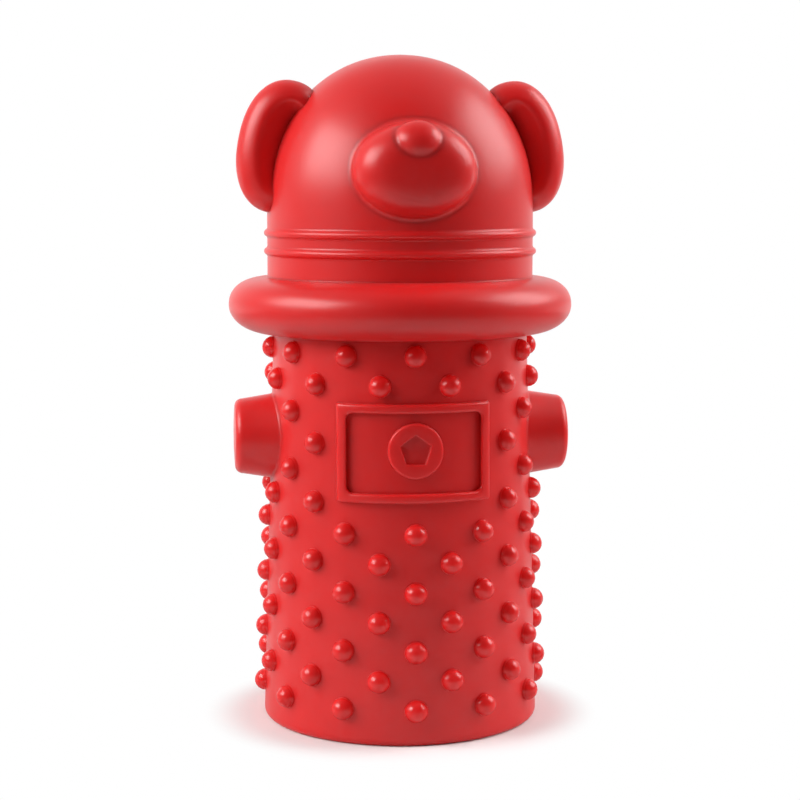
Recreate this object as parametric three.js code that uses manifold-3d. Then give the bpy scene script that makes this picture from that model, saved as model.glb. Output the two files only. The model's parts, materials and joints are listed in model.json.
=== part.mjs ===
// Rubber chew toy in the form of a hydrant with a dog's head, as an assembly of bonded mouldings
// round a squeaker. Millimetres, +Z up, standing on z = 0, with the face looking along -Y.
import * as THREE from "three";
import { ConvexGeometry } from "three/addons/geometries/ConvexGeometry.js";
import { mergeVertices } from "three/addons/utils/BufferGeometryUtils.js";
import Module from "manifold-3d";

const wasm = await Module();
wasm.setup();

// Driving dimensions

// Every glued or nested pair of pieces keeps this gap
const BOND_GAP = 0.3;
const RING_SIDES = 48;
const ARC_STEPS = 4;
const MERGE_DISTANCE = 1e-4;

// Barrel: a tapered tube with a holed floor
const BARREL_BASE_RADIUS = 31.4;
const BARREL_MOUTH_RADIUS = 28.6;
const BARREL_HEIGHT = 94.1;
const BARREL_WALL = 7;
const BARREL_FLOOR = 7;
const BARREL_EDGE_RADIUS = 1.6;

// Nubs: staggered rows of small domes round the barrel
const NUBS_PER_ROW = 12;
const NUB_PITCH = 6.4;
const NUB_LOWEST = 7.9;
const NUB_RADIUS = 2.6;
const NUB_HEIGHT = 2.4;
const NUB_SIDES = 6;
const NUB_CLEARANCE = 0.4;

// Collar: a half-oval ring over the seam of barrel and head
const COLLAR_REACH = 8.5;
const COLLAR_HALF_HEIGHT = 6.2;
const COLLAR_STEPS = 8;

// Head: neck with two raised bands, and a blunt dome
const NECK_RADIUS = 30;
const DOME_HEIGHT = 33.4;
const DOME_POWER = 2.08;
const DOME_STEPS = 8;
const HEAD_WALL = 7;
const BAND_RISE = 5.85;
const BAND_PITCH = 4.1;
const BAND_DROP = 6.2;
const BAND_PROUD = 0.7;
const BAND_HEIGHT = 1.4;
const SPIGOT_LENGTH = 14;
const SPIGOT_WALL = 5;

// Ears: fat ovals with a soft rim round a shallow dish, leaning in at the top
const EAR_HEIGHT = 30.6;
const EAR_WIDTH = 20.4;
const EAR_OUTLINE_POWER = 2.2;
const EAR_FRONT = 5.3;
const EAR_BACK = 6;
const EAR_BACK_INSET = 3;
const EAR_SHOULDER = 4.2;
const EAR_SHOULDER_INSET = 1.9;
const EAR_CREST_INSET = 4.8;
const EAR_DISH = 2.4;
const EAR_DISH_INSET = 8.6;
const EAR_ROUNDING = 2;
const EAR_ROUNDING_STEPS = 2;
const EAR_FORWARD = 2.5;
const EAR_SINK = 3.05;
const EAR_RISE = 12.6;
const EAR_LEAN = 9.5;
const EAR_SIDES = 24;

// Snout and nose: an egg on the front of the dome, and an oval on top of it
const SNOUT_WIDTH = 27.4;
const SNOUT_HEIGHT = 20.2;
const SNOUT_DEPTH = 22;
const SNOUT_RISE = 8.2;
const SNOUT_SINK = 4.5;
const SNOUT_SIDES = 24;
const NOSE_WIDTH = 10.5;
const NOSE_HEIGHT = 9;
const NOSE_DEPTH = 6.6;
const NOSE_SLOPE = 40;
const NOSE_SINK = 0.3;
const NOSE_SIDES = 16;

// Side nozzles: short tapered stubs
const NOZZLE_RISE = 64.5;
const NOZZLE_LENGTH = 8.5;
const NOZZLE_ROOT_RADIUS = 9.1;
const NOZZLE_TIP_RADIUS = 8.5;
const NOZZLE_EDGE = 1.6;
const NOZZLE_SIDES = 24;

// Badge: a raised frame on the front, a little below the nozzles' axis, and a round boss in its window
const BADGE_DROP = 0.55;
const FRAME_WIDTH = 33.3;
const FRAME_HEIGHT = 21.3;
const FRAME_BORDER = 2;
const FRAME_PROUD = 1.4;
const FRAME_CORNER = 1.5;
const DISC_MARGIN = 2.65;
const DISC_PROUD = 0.9;
const NUT_RADIUS = 3.6;
const NUT_SINK = 0.5;
const NUT_SIDES = 5;

// Base plug: a bung with a flange below the floor and a bead above it
const PLUG_NECK_RADIUS = 14;
const PLUG_FLANGE_REACH = 3;
const PLUG_FLANGE = 2.4;
const PLUG_BEAD = 1.2;
const PLUG_BEAD_HEIGHT = 2.4;

// Squeaker: a flanged tube that holds a reed between a channel and a clamp
const CUP_BORE = 4;
const CUP_WALL = 1;
const CUP_START = 1.5;
const CUP_LENGTH = 16.5;
const CUP_FLANGE_REACH = 4;
const CUP_FLANGE = 1.2;
const CUP_LIP = 1;
const AIR_HOLE_RADIUS = 2.4;
const CUP_SIDES = 24;
const CLAMP_LENGTH = 4.2;
const GROOVE_WIDTH = 3;
const GROOVE_DEPTH = 1.7;
const GROOVE_END_WALL = 1.5;
const BED_SLOPE = 5;
const REED_THICKNESS = 0.3;
const REED_WIDTH = 4.6;
const REED_HELD = 1;
const REED_TOP_GAP = 1;

// Heights and radii that follow from the sizes above

const FRONT = -1;
const LEFT = -1;
const RIGHT = 1;
const FULL_TURN = 2 * Math.PI;
const headSeat = BARREL_HEIGHT + BOND_GAP;
const collarHeight = BARREL_HEIGHT + BOND_GAP / 2;
const collarLow = collarHeight - COLLAR_HALF_HEIGHT;
const collarHigh = collarHeight + COLLAR_HALF_HEIGHT;
const lowBand = collarHigh + BAND_RISE;
const highBand = lowBand + BAND_PITCH;
const domeBase = highBand + BAND_DROP;
const toyHeight = domeBase + DOME_HEIGHT;
const mouthBore = BARREL_MOUTH_RADIUS - BARREL_WALL;
const spigotRadius = mouthBore - BOND_GAP;
const spigotBottom = headSeat - SPIGOT_LENGTH;
const badgeRise = NOZZLE_RISE - BADGE_DROP;
const discRadius = FRAME_HEIGHT / 2 - FRAME_BORDER - DISC_MARGIN;
const plugFlangeRadius = PLUG_NECK_RADIUS + PLUG_FLANGE_REACH;
const plugRecess = PLUG_FLANGE + 2 * BOND_GAP;
const plugTop = BARREL_FLOOR + BOND_GAP + PLUG_BEAD_HEIGHT;
const cupRadius = CUP_BORE + CUP_WALL;
const cupTop = CUP_START + CUP_LENGTH;
const reedPackRadius = CUP_BORE - BOND_GAP;
const reedPackBottom = CUP_START + CUP_LIP + BOND_GAP;
const clampTop = reedPackBottom + CLAMP_LENGTH;
const reedSeat = REED_THICKNESS / 2 + BOND_GAP;
const nubRoom = NUB_RADIUS + NUB_CLEARANCE;
const nubRows = 1 + Math.floor((collarLow - nubRoom - NUB_LOWEST) / NUB_PITCH);

/** Radius of the barrel's outside at a height. */
function barrelRadius(z) {
  const taper = (BARREL_MOUTH_RADIUS - BARREL_BASE_RADIUS) / BARREL_HEIGHT;
  return BARREL_BASE_RADIUS + taper * z;
}

// Solids and meshes

/** Triangles of an index list, without those that collapse to a line. */
function realTriangles(index) {
  const kept = [];
  for (let i = 0; i < index.length; i += 3) {
    const [a, b, c] = [index[i], index[i + 1], index[i + 2]];
    if (a !== b && b !== c && c !== a) {
      kept.push(a, b, c);
    }
  }
  return kept;
}

/** Signed volume of a triangle list, positive where the faces point out. */
function signedVolume(position, index) {
  const corner = (i) => new THREE.Vector3().fromBufferAttribute(position, i);
  let volume = 0;
  for (let i = 0; i < index.length; i += 3) {
    volume += corner(index[i]).dot(corner(index[i + 1]).cross(corner(index[i + 2]))) / 6;
  }
  return volume;
}

/** Solid from a closed geometry, with its corners merged and its faces pointing out. */
function solid(geometry) {
  const bare = geometry.clone();
  bare.deleteAttribute("normal");
  bare.deleteAttribute("uv");
  const merged = mergeVertices(bare, MERGE_DISTANCE);
  const position = merged.getAttribute("position");
  const index = realTriangles(merged.index.array);
  if (signedVolume(position, index) < 0) {
    index.reverse();
  }
  const vertProperties = new Float32Array(position.array);
  const triVerts = new Uint32Array(index);
  return new wasm.Manifold(new wasm.Mesh({ numProp: 3, vertProperties, triVerts }));
}

/** Solid of revolution about Z from [radius, height] points. */
function revolve(points, sides = RING_SIDES) {
  const profile = points.map(([radius, height]) => new THREE.Vector2(radius, height));
  return solid(new THREE.LatheGeometry(profile, sides).rotateX(Math.PI / 2));
}

/** Ring about Z whose [radius, height] profile closes on itself. */
function revolveRing(points, sides = RING_SIDES) {
  return revolve([...points, points[0]], sides);
}

/** Prism of a flat shape, drawn in X and Z, that runs along Y from one depth to another. */
function prismAlongY(shape, from, to) {
  const geometry = new THREE.ExtrudeGeometry(shape, { depth: to - from, bevelEnabled: false });
  return solid(geometry.rotateX(Math.PI / 2).translate(0, to, 0));
}

/** Block between two corners. */
function block(low, high) {
  const size = new THREE.Vector3().subVectors(high, low);
  const middle = new THREE.Vector3().addVectors(low, high).multiplyScalar(0.5);
  return solid(new THREE.BoxGeometry(size.x, size.y, size.z).translate(middle.x, middle.y, middle.z));
}

/** Named mesh of a finished solid. */
function piece(name, shape, material) {
  const result = shape.getMesh();
  const geometry = new THREE.BufferGeometry();
  geometry.setAttribute("position", new THREE.BufferAttribute(result.vertProperties, 3));
  geometry.setIndex(new THREE.BufferAttribute(result.triVerts, 1));
  geometry.computeVertexNormals();
  const mesh = new THREE.Mesh(geometry, material);
  mesh.name = name;
  return mesh;
}

/** Quarter-round points about a centre, from one angle to another in degrees. */
function arc(centreRadius, centreHeight, radius, from, to, steps = ARC_STEPS) {
  const points = [];
  for (let i = 0; i <= steps; i += 1) {
    const angle = THREE.MathUtils.degToRad(from + ((to - from) * i) / steps);
    points.push([centreRadius + radius * Math.cos(angle), centreHeight + radius * Math.sin(angle)]);
  }
  return points;
}

/** Profile through [x, y, rounding] corners, each rounded one eased by a curve of a few steps. */
function softProfile(corners, steps) {
  const path = new THREE.Path();
  const at = corners.map(([x, y]) => new THREE.Vector2(x, y));
  const towards = (i, j, distance) => at[j].clone().sub(at[i]).setLength(distance).add(at[i]);
  path.moveTo(at[0].x, at[0].y);
  corners.slice(1, -1).forEach(([x, y, rounding], k) => {
    const start = towards(k + 1, k, rounding);
    const end = towards(k + 1, k + 2, rounding);
    path.lineTo(start.x, start.y);
    path.quadraticCurveTo(x, y, end.x, end.y);
  });
  const last = at[at.length - 1];
  path.lineTo(last.x, last.y);
  return path.getPoints(steps);
}

/** Solid lofted through rings of points, and closed by a point at each end. */
function loft(start, rings, end) {
  const sides = rings[0].length;
  const points = [start, ...rings.flat(), end];
  const index = [];
  for (let i = 0; i < sides; i += 1) {
    const j = (i + 1) % sides;
    index.push(0, 1 + j, 1 + i);
    for (let k = 0; k < rings.length - 1; k += 1) {
      const [low, high] = [1 + k * sides, 1 + (k + 1) * sides];
      index.push(low + i, low + j, high + j, low + i, high + j, high + i);
    }
    const top = 1 + (rings.length - 1) * sides;
    index.push(top + i, top + j, points.length - 1);
  }
  const geometry = new THREE.BufferGeometry().setFromPoints(points);
  geometry.setIndex(index);
  return solid(geometry);
}

// Barrel

/** Outside of the barrel without its nubs, grown by a gap, as a tool that cuts what sits on it. */
function barrelSkin(gap) {
  return revolve([
    [0, 0],
    [barrelRadius(0) + gap, 0],
    [barrelRadius(BARREL_HEIGHT) + gap, BARREL_HEIGHT],
    [0, BARREL_HEIGHT],
  ]);
}

/** Whether a nub at an angle from the front and a height stays clear of the frame and the nozzles. */
function nubIsClear(angle, height) {
  const radius = barrelRadius(height);
  const across = Math.abs(radius * Math.sin(angle));
  const facesFront = Math.cos(angle) > 0;
  const besideFrame = across > FRAME_WIDTH / 2 + nubRoom * Math.cos(angle);
  const aboveOrBelow = Math.abs(height - badgeRise) > FRAME_HEIGHT / 2 + nubRoom;
  const toNozzle = radius * Math.abs(Math.abs(angle) - Math.PI / 2);
  const clearOfNozzle = Math.hypot(toNozzle, height - NOZZLE_RISE) > NOZZLE_ROOT_RADIUS + nubRoom;
  return clearOfNozzle && (!facesFront || besideFrame || aboveOrBelow);
}

/** Ring of points about Z, turned by a share of one side. */
function ringPoints(radius, height, sides, phase) {
  const points = [];
  for (let i = 0; i < sides; i += 1) {
    const angle = ((i + phase) / sides) * FULL_TURN;
    points.push(new THREE.Vector3(radius * Math.cos(angle), radius * Math.sin(angle), height));
  }
  return points;
}

/** One nub on the +Z axis. Its flank runs on below the surface, so that its foot is sunk in the barrel. */
function nub() {
  const shoulderRadius = NUB_RADIUS * Math.cos(Math.PI / 4);
  const shoulderHeight = NUB_HEIGHT * Math.sin(Math.PI / 4);
  return solid(new ConvexGeometry([
    new THREE.Vector3(0, 0, NUB_HEIGHT),
    ...ringPoints(shoulderRadius, shoulderHeight, NUB_SIDES, 0),
    ...ringPoints(2 * NUB_RADIUS - shoulderRadius, -shoulderHeight, NUB_SIDES, 0.5),
  ]));
}

/** Every nub of the barrel, each standing square to its surface. */
function nubs() {
  const one = nub();
  const copies = [];
  for (let row = 0; row < nubRows; row += 1) {
    const height = NUB_LOWEST + row * NUB_PITCH;
    const stagger = row % 2 === 0 ? 0 : 0.5;
    for (let i = 0; i < NUBS_PER_ROW; i += 1) {
      const turn = ((i + stagger) / NUBS_PER_ROW) * FULL_TURN;
      const angle = turn > Math.PI ? turn - FULL_TURN : turn;
      if (nubIsClear(angle, height)) {
        const place = new THREE.Matrix4().makeRotationZ(angle);
        place.multiply(new THREE.Matrix4().makeTranslation(0, FRONT * barrelRadius(height), height));
        place.multiply(new THREE.Matrix4().makeRotationX(Math.PI / 2));
        copies.push(one.transform(place.elements));
      }
    }
  }
  return wasm.Manifold.union(copies);
}

/** Hollow barrel with its nubs, its open mouth and the stepped hole for the base plug. */
function barrel() {
  const edge = BARREL_EDGE_RADIUS;
  const outside = revolve([
    [0, 0],
    ...arc(barrelRadius(edge) - edge, edge, edge, -90, 0),
    [BARREL_MOUTH_RADIUS, BARREL_HEIGHT],
    [0, BARREL_HEIGHT],
  ]);
  const chamber = revolve([
    [0, BARREL_FLOOR],
    [barrelRadius(BARREL_FLOOR) - BARREL_WALL, BARREL_FLOOR],
    [mouthBore, BARREL_HEIGHT],
    [mouthBore, toyHeight],
    [0, toyHeight],
  ]);
  const plugHole = revolve([
    [0, -toyHeight],
    [plugFlangeRadius + BOND_GAP, -toyHeight],
    [plugFlangeRadius + BOND_GAP, plugRecess],
    [PLUG_NECK_RADIUS + BOND_GAP, plugRecess],
    [PLUG_NECK_RADIUS + BOND_GAP, BARREL_FLOOR + BOND_GAP],
    [0, BARREL_FLOOR + BOND_GAP],
  ], CUP_SIDES);
  return outside.add(nubs()).subtract(chamber).subtract(plugHole);
}

// Collar and head

/** Half-oval ring with a ledge inside, bored for the barrel below and for the neck above. */
function collarRing() {
  const neckBore = NECK_RADIUS + BOND_GAP;
  const outside = [];
  for (let i = 0; i <= COLLAR_STEPS; i += 1) {
    const angle = (i / COLLAR_STEPS - 0.5) * Math.PI;
    outside.push([
      neckBore + COLLAR_REACH * Math.cos(angle),
      collarHeight + COLLAR_HALF_HEIGHT * Math.sin(angle),
    ]);
  }
  return revolveRing([
    [barrelRadius(collarLow) + BOND_GAP, collarLow],
    ...outside,
    [neckBore, BARREL_HEIGHT],
    [BARREL_MOUTH_RADIUS + BOND_GAP, BARREL_HEIGHT],
  ]);
}

/** Points of a blunt dome, from its rim to its top. */
function domePoints(radius, base, height, steps = DOME_STEPS) {
  const points = [];
  for (let i = 0; i < steps; i += 1) {
    const angle = ((i / steps) * Math.PI) / 2;
    points.push([
      radius * Math.cos(angle) ** (2 / DOME_POWER),
      base + height * Math.sin(angle) ** (2 / DOME_POWER),
    ]);
  }
  points.push([0, base + height]);
  return points;
}

/** One raised band of the neck, as the points that its profile adds. */
function bandPoints(height) {
  const half = BAND_HEIGHT / 2;
  return [
    [NECK_RADIUS, height - half],
    [NECK_RADIUS + BAND_PROUD, height - half / 2],
    [NECK_RADIUS + BAND_PROUD, height + half / 2],
    [NECK_RADIUS, height + half],
  ];
}

/** Outside of the neck and dome grown by a gap, as a tool that cuts what sits on the head. */
function headSkin(gap) {
  return revolve([
    [0, headSeat],
    [NECK_RADIUS + gap, headSeat],
    ...domePoints(NECK_RADIUS + gap, domeBase, DOME_HEIGHT + gap),
  ]);
}

/** Hollow head: spigot, neck with two bands, and dome. */
function head() {
  const outside = revolve([
    [0, spigotBottom],
    [spigotRadius, spigotBottom],
    [spigotRadius, headSeat],
    [NECK_RADIUS, headSeat],
    ...bandPoints(lowBand),
    ...bandPoints(highBand),
    ...domePoints(NECK_RADIUS, domeBase, DOME_HEIGHT),
  ]);
  const throat = spigotRadius - SPIGOT_WALL;
  const chamberRadius = NECK_RADIUS - HEAD_WALL;
  const chamber = revolve([
    [0, 0],
    [throat, 0],
    [throat, headSeat],
    [chamberRadius, headSeat + HEAD_WALL],
    ...domePoints(chamberRadius, domeBase, DOME_HEIGHT - HEAD_WALL, ARC_STEPS),
  ], RING_SIDES / 2);
  return outside.subtract(chamber);
}

// Ears

/** Oval of an ear that faces +Z, at a distance inside its outline and a depth. */
function earRing(inset, depth) {
  const points = [];
  for (let i = 0; i < EAR_SIDES; i += 1) {
    const [across, up] = [Math.cos((i / EAR_SIDES) * FULL_TURN), Math.sin((i / EAR_SIDES) * FULL_TURN)];
    const level = Math.abs(across) ** EAR_OUTLINE_POWER + Math.abs(up) ** EAR_OUTLINE_POWER;
    const share = level ** (-1 / EAR_OUTLINE_POWER);
    const x = (EAR_WIDTH / 2 - inset) * across * share;
    const y = (EAR_HEIGHT / 2 - inset) * up * share;
    points.push(new THREE.Vector3(x, y, depth));
  }
  return points;
}

/** Whole ear facing +Z: a rounded back, a tapered flank and a soft rim round a shallow dish. */
function wholeEar() {
  const floor = EAR_FRONT - EAR_DISH;
  const section = softProfile([
    [EAR_DISH_INSET, -EAR_BACK, 0],
    [EAR_BACK_INSET, -EAR_BACK, EAR_ROUNDING],
    [0, 0, EAR_ROUNDING],
    [EAR_SHOULDER_INSET, EAR_SHOULDER, EAR_ROUNDING],
    [EAR_CREST_INSET, EAR_FRONT, EAR_ROUNDING / 2],
    [EAR_DISH_INSET, floor, 0],
  ], EAR_ROUNDING_STEPS);
  const rings = section.map((point) => earRing(point.x, point.y));
  return loft(new THREE.Vector3(0, 0, -EAR_BACK), rings, new THREE.Vector3(0, 0, floor));
}

/** Ear of one side, leaning in at the top and cut to the head. */
function ear(side) {
  const across = side * (NECK_RADIUS - EAR_SINK);
  const place = new THREE.Matrix4().makeTranslation(across, FRONT * EAR_FORWARD, domeBase + EAR_RISE);
  place.multiply(new THREE.Matrix4().makeRotationY(-side * THREE.MathUtils.degToRad(EAR_LEAN)));
  place.multiply(new THREE.Matrix4().makeRotationX(Math.PI / 2));
  return wholeEar().transform(place.elements).subtract(headSkin(BOND_GAP));
}

// Snout and nose

const snoutCentre = new THREE.Vector3(0, FRONT * (NECK_RADIUS - SNOUT_SINK), domeBase + SNOUT_RISE);

/** Egg of the snout, grown by a gap. */
function snoutEgg(gap) {
  const egg = new THREE.SphereGeometry(1, SNOUT_SIDES, SNOUT_SIDES / 2).rotateX(Math.PI / 2);
  egg.scale(SNOUT_WIDTH / 2 + gap, SNOUT_DEPTH / 2 + gap, SNOUT_HEIGHT / 2 + gap);
  return solid(egg.translate(snoutCentre.x, snoutCentre.y, snoutCentre.z));
}

/** Snout, cut to the dome. */
function snout() {
  return snoutEgg(0).subtract(headSkin(BOND_GAP));
}

/** Nose: an oval that lies on the upper front of the snout and is cut to it. */
function nose() {
  const slope = THREE.MathUtils.degToRad(NOSE_SLOPE);
  const oval = new THREE.SphereGeometry(1, NOSE_SIDES, NOSE_SIDES / 2);
  oval.scale(NOSE_WIDTH / 2, NOSE_DEPTH / 2, NOSE_HEIGHT / 2);
  oval.rotateX(-slope);
  const seatY = snoutCentre.y + FRONT * (SNOUT_DEPTH / 2 - NOSE_SINK) * Math.cos(slope);
  const seatZ = snoutCentre.z + (SNOUT_HEIGHT / 2 - NOSE_SINK) * Math.sin(slope);
  return solid(oval.translate(0, seatY, seatZ)).subtract(snoutEgg(BOND_GAP)).subtract(headSkin(BOND_GAP));
}

// Nozzles

/** Side outlet: a slightly tapered stub with a rounded rim, cut to the barrel. */
function nozzle(side) {
  const edge = NOZZLE_EDGE;
  const root = barrelRadius(NOZZLE_RISE);
  const tip = root + NOZZLE_LENGTH;
  const stub = revolve([
    [0, 0],
    [NOZZLE_ROOT_RADIUS, 0],
    [NOZZLE_ROOT_RADIUS, root],
    ...arc(NOZZLE_TIP_RADIUS - edge, tip - edge, edge, 0, 90),
    [0, tip],
  ], NOZZLE_SIDES);
  const place = new THREE.Matrix4().makeTranslation(0, 0, NOZZLE_RISE);
  place.multiply(new THREE.Matrix4().makeRotationY((side * Math.PI) / 2));
  return stub.transform(place.elements).subtract(barrelSkin(BOND_GAP));
}

// Badge

/** Layer of a given height that lies on the barrel, all round it. */
function layerOnBarrel(from, to) {
  const low = badgeRise - FRAME_HEIGHT;
  const high = badgeRise + FRAME_HEIGHT;
  return revolveRing([
    [barrelRadius(low) + from, low],
    [barrelRadius(low) + to, low],
    [barrelRadius(high) + to, high],
    [barrelRadius(high) + from, high],
  ]);
}

/** Prism along Y that passes through the front half of the toy, at the badge's height. */
function throughFront(shape) {
  return prismAlongY(shape, -toyHeight, 0).translate(0, 0, badgeRise);
}

/** Rectangle about the origin with rounded corners. */
function roundedRectangle(width, height, radius) {
  const [x, y] = [width / 2, height / 2];
  const shape = new THREE.Shape();
  shape.absarc(x - radius, y - radius, radius, 0, Math.PI / 2);
  shape.absarc(radius - x, y - radius, radius, Math.PI / 2, Math.PI);
  shape.absarc(radius - x, radius - y, radius, Math.PI, 1.5 * Math.PI);
  shape.absarc(x - radius, radius - y, radius, 1.5 * Math.PI, FULL_TURN);
  shape.closePath();
  return new THREE.Shape(shape.getPoints(ARC_STEPS));
}

/** Regular outline about the origin with a corner at the top. */
function polygon(radius, sides) {
  const points = [];
  for (let i = 0; i < sides; i += 1) {
    const angle = (i / sides) * FULL_TURN + Math.PI / 2;
    points.push(new THREE.Vector2(radius * Math.cos(angle), radius * Math.sin(angle)));
  }
  return new THREE.Shape(points);
}

/** Raised frame with square outer and rounded inner corners. */
function badgeFrame() {
  const outer = new THREE.Shape([
    new THREE.Vector2(-FRAME_WIDTH / 2, -FRAME_HEIGHT / 2),
    new THREE.Vector2(FRAME_WIDTH / 2, -FRAME_HEIGHT / 2),
    new THREE.Vector2(FRAME_WIDTH / 2, FRAME_HEIGHT / 2),
    new THREE.Vector2(-FRAME_WIDTH / 2, FRAME_HEIGHT / 2),
  ]);
  const windowWidth = FRAME_WIDTH - 2 * FRAME_BORDER;
  const windowHeight = FRAME_HEIGHT - 2 * FRAME_BORDER;
  const window = roundedRectangle(windowWidth, windowHeight, FRAME_CORNER);
  const layer = layerOnBarrel(BOND_GAP, BOND_GAP + FRAME_PROUD);
  return layer.intersect(throughFront(outer)).subtract(throughFront(window));
}

/** Round boss with a five-sided recess. */
function badgeDisc() {
  const top = BOND_GAP + DISC_PROUD;
  const boss = layerOnBarrel(BOND_GAP, top).intersect(throughFront(polygon(discRadius, CUP_SIDES)));
  const sink = layerOnBarrel(top - NUT_SINK, top + NUT_SINK);
  return boss.subtract(sink.intersect(throughFront(polygon(NUT_RADIUS, NUT_SIDES))));
}

// Base plug and squeaker

/** Rubber bung: flange under the floor, neck through it, bead above it, bored for the squeaker. */
function basePlug() {
  const bore = cupRadius + BOND_GAP;
  return revolveRing([
    [bore, BOND_GAP],
    [plugFlangeRadius, BOND_GAP],
    [plugFlangeRadius, BOND_GAP + PLUG_FLANGE],
    [PLUG_NECK_RADIUS, BOND_GAP + PLUG_FLANGE],
    [PLUG_NECK_RADIUS, BARREL_FLOOR + BOND_GAP],
    [PLUG_NECK_RADIUS + PLUG_BEAD, BARREL_FLOOR + BOND_GAP],
    [PLUG_NECK_RADIUS + PLUG_BEAD, plugTop - PLUG_BEAD],
    [PLUG_NECK_RADIUS, plugTop],
    [bore, plugTop],
  ], CUP_SIDES);
}

/** Squeaker tube with a flange that lies on the plug and a lip round the air hole. */
function squeakerCup() {
  const flangeLow = plugTop + BOND_GAP;
  const flangeRadius = cupRadius + CUP_FLANGE_REACH;
  return revolveRing([
    [AIR_HOLE_RADIUS, CUP_START],
    [cupRadius, CUP_START],
    [cupRadius, flangeLow],
    [flangeRadius, flangeLow],
    [flangeRadius, flangeLow + CUP_FLANGE],
    [cupRadius, flangeLow + CUP_FLANGE],
    [cupRadius, cupTop],
    [CUP_BORE, cupTop],
    [CUP_BORE, CUP_START + CUP_LIP],
    [AIR_HOLE_RADIUS, CUP_START + CUP_LIP],
  ], CUP_SIDES);
}

/** Round bar that fills the squeaker's bore between two heights. */
function boreBar(low, high) {
  return revolve([[0, low], [reedPackRadius, low], [reedPackRadius, high], [0, high]], CUP_SIDES);
}

/** Bed of the reed: half a bar with a groove, sloping away from the reed above the clamp. */
function reedChannel() {
  const corner = (x, y, z) => new THREE.Vector3(x, y, z);
  const far = CUP_BORE * 2;
  const bar = boreBar(reedPackBottom, cupTop);
  const frontHalf = block(corner(-far, -reedSeat, -far), corner(far, far, cupTop + far));
  const slope = new THREE.Matrix4().makeTranslation(0, -reedSeat, clampTop);
  slope.multiply(new THREE.Matrix4().makeRotationX(THREE.MathUtils.degToRad(BED_SLOPE)));
  const wedge = block(corner(-far, 0, 0), corner(far, far, CUP_LENGTH)).transform(slope.elements);
  const groove = block(
    corner(-GROOVE_WIDTH / 2, -reedSeat - GROOVE_DEPTH, 0),
    corner(GROOVE_WIDTH / 2, far, cupTop - GROOVE_END_WALL),
  );
  return bar.subtract(frontHalf).subtract(wedge).subtract(groove);
}

/** Half-round wedge that holds the root of the reed against its bed. */
function reedClamp() {
  const far = CUP_BORE * 2;
  const backHalf = block(new THREE.Vector3(-far, -far, 0), new THREE.Vector3(far, reedSeat, cupTop));
  return boreBar(reedPackBottom, clampTop).subtract(backHalf);
}

/** Reed: a thin film whose root lies just inside the clamp. */
function reed() {
  const half = REED_THICKNESS / 2;
  const low = new THREE.Vector3(-REED_WIDTH / 2, -half, clampTop - REED_HELD);
  const high = new THREE.Vector3(REED_WIDTH / 2, half, cupTop - REED_TOP_GAP);
  return block(low, high);
}

// Assembly

const rubber = new THREE.MeshStandardMaterial({ color: "#d42c2b", roughness: 0.48, metalness: 0 });
const plastic = new THREE.MeshStandardMaterial({ color: "#e6e3d8", roughness: 0.4, metalness: 0 });
const film = new THREE.MeshStandardMaterial({ color: "#c9d2d6", roughness: 0.2, metalness: 0 });

const toy = new THREE.Group();

const face = new THREE.Group();
face.add(piece("head", head(), rubber));
face.add(piece("ear_left", ear(LEFT), rubber));
face.add(piece("ear_right", ear(RIGHT), rubber));
face.add(piece("snout", snout(), rubber));
face.add(piece("nose", nose(), rubber));

const body = new THREE.Group();
body.add(piece("barrel", barrel(), rubber));
body.add(piece("collar_ring", collarRing(), rubber));
body.add(piece("nozzle_left", nozzle(LEFT), rubber));
body.add(piece("nozzle_right", nozzle(RIGHT), rubber));
body.add(piece("badge_frame", badgeFrame(), rubber));
body.add(piece("badge_disc", badgeDisc(), rubber));
body.add(piece("base_plug", basePlug(), rubber));

const squeaker = new THREE.Group();
squeaker.add(piece("squeaker_cup", squeakerCup(), plastic));
squeaker.add(piece("reed_channel", reedChannel(), plastic));
squeaker.add(piece("reed_clamp", reedClamp(), plastic));
squeaker.add(piece("reed", reed(), film));

toy.add(face, body, squeaker);

export default toy;
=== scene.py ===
"""Dressed model of a moulded rubber chew toy: a nubbed hydrant with a dog's head, round a squeaker.

Sizes are in millimetres and become metres where a mesh is made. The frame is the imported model's own:
+Z up, with the toy standing on z = 0 and its face towards -Y.
"""

import json
import logging
import math
from collections.abc import Callable, Sequence
from dataclasses import dataclass
from enum import Enum
from typing import Protocol

import bmesh
import bpy
from mathutils import Matrix, Vector

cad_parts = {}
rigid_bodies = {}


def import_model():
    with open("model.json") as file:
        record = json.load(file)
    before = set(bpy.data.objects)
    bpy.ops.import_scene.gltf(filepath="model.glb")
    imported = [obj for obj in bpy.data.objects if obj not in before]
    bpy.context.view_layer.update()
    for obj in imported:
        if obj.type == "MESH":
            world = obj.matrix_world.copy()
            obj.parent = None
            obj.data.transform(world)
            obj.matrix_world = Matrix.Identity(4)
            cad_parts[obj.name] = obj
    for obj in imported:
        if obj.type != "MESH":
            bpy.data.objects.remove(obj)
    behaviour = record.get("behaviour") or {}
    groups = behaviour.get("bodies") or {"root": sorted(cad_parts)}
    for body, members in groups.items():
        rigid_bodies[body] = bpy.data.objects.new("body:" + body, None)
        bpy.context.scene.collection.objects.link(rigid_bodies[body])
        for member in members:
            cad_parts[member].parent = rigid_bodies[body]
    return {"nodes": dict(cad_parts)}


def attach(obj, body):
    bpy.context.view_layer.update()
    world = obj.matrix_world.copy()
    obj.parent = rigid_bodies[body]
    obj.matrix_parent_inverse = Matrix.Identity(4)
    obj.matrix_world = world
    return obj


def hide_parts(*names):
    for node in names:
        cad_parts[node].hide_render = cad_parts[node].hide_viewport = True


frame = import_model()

LOG = logging.getLogger("chew_toy")
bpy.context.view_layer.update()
MM = 0.001
FULL_TURN = 2 * math.pi
QUARTER_TURN = math.pi / 2
TOY_BODY = "toy"
SHARP_ANGLE = math.radians(42)
POLISH = "polish"
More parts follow.
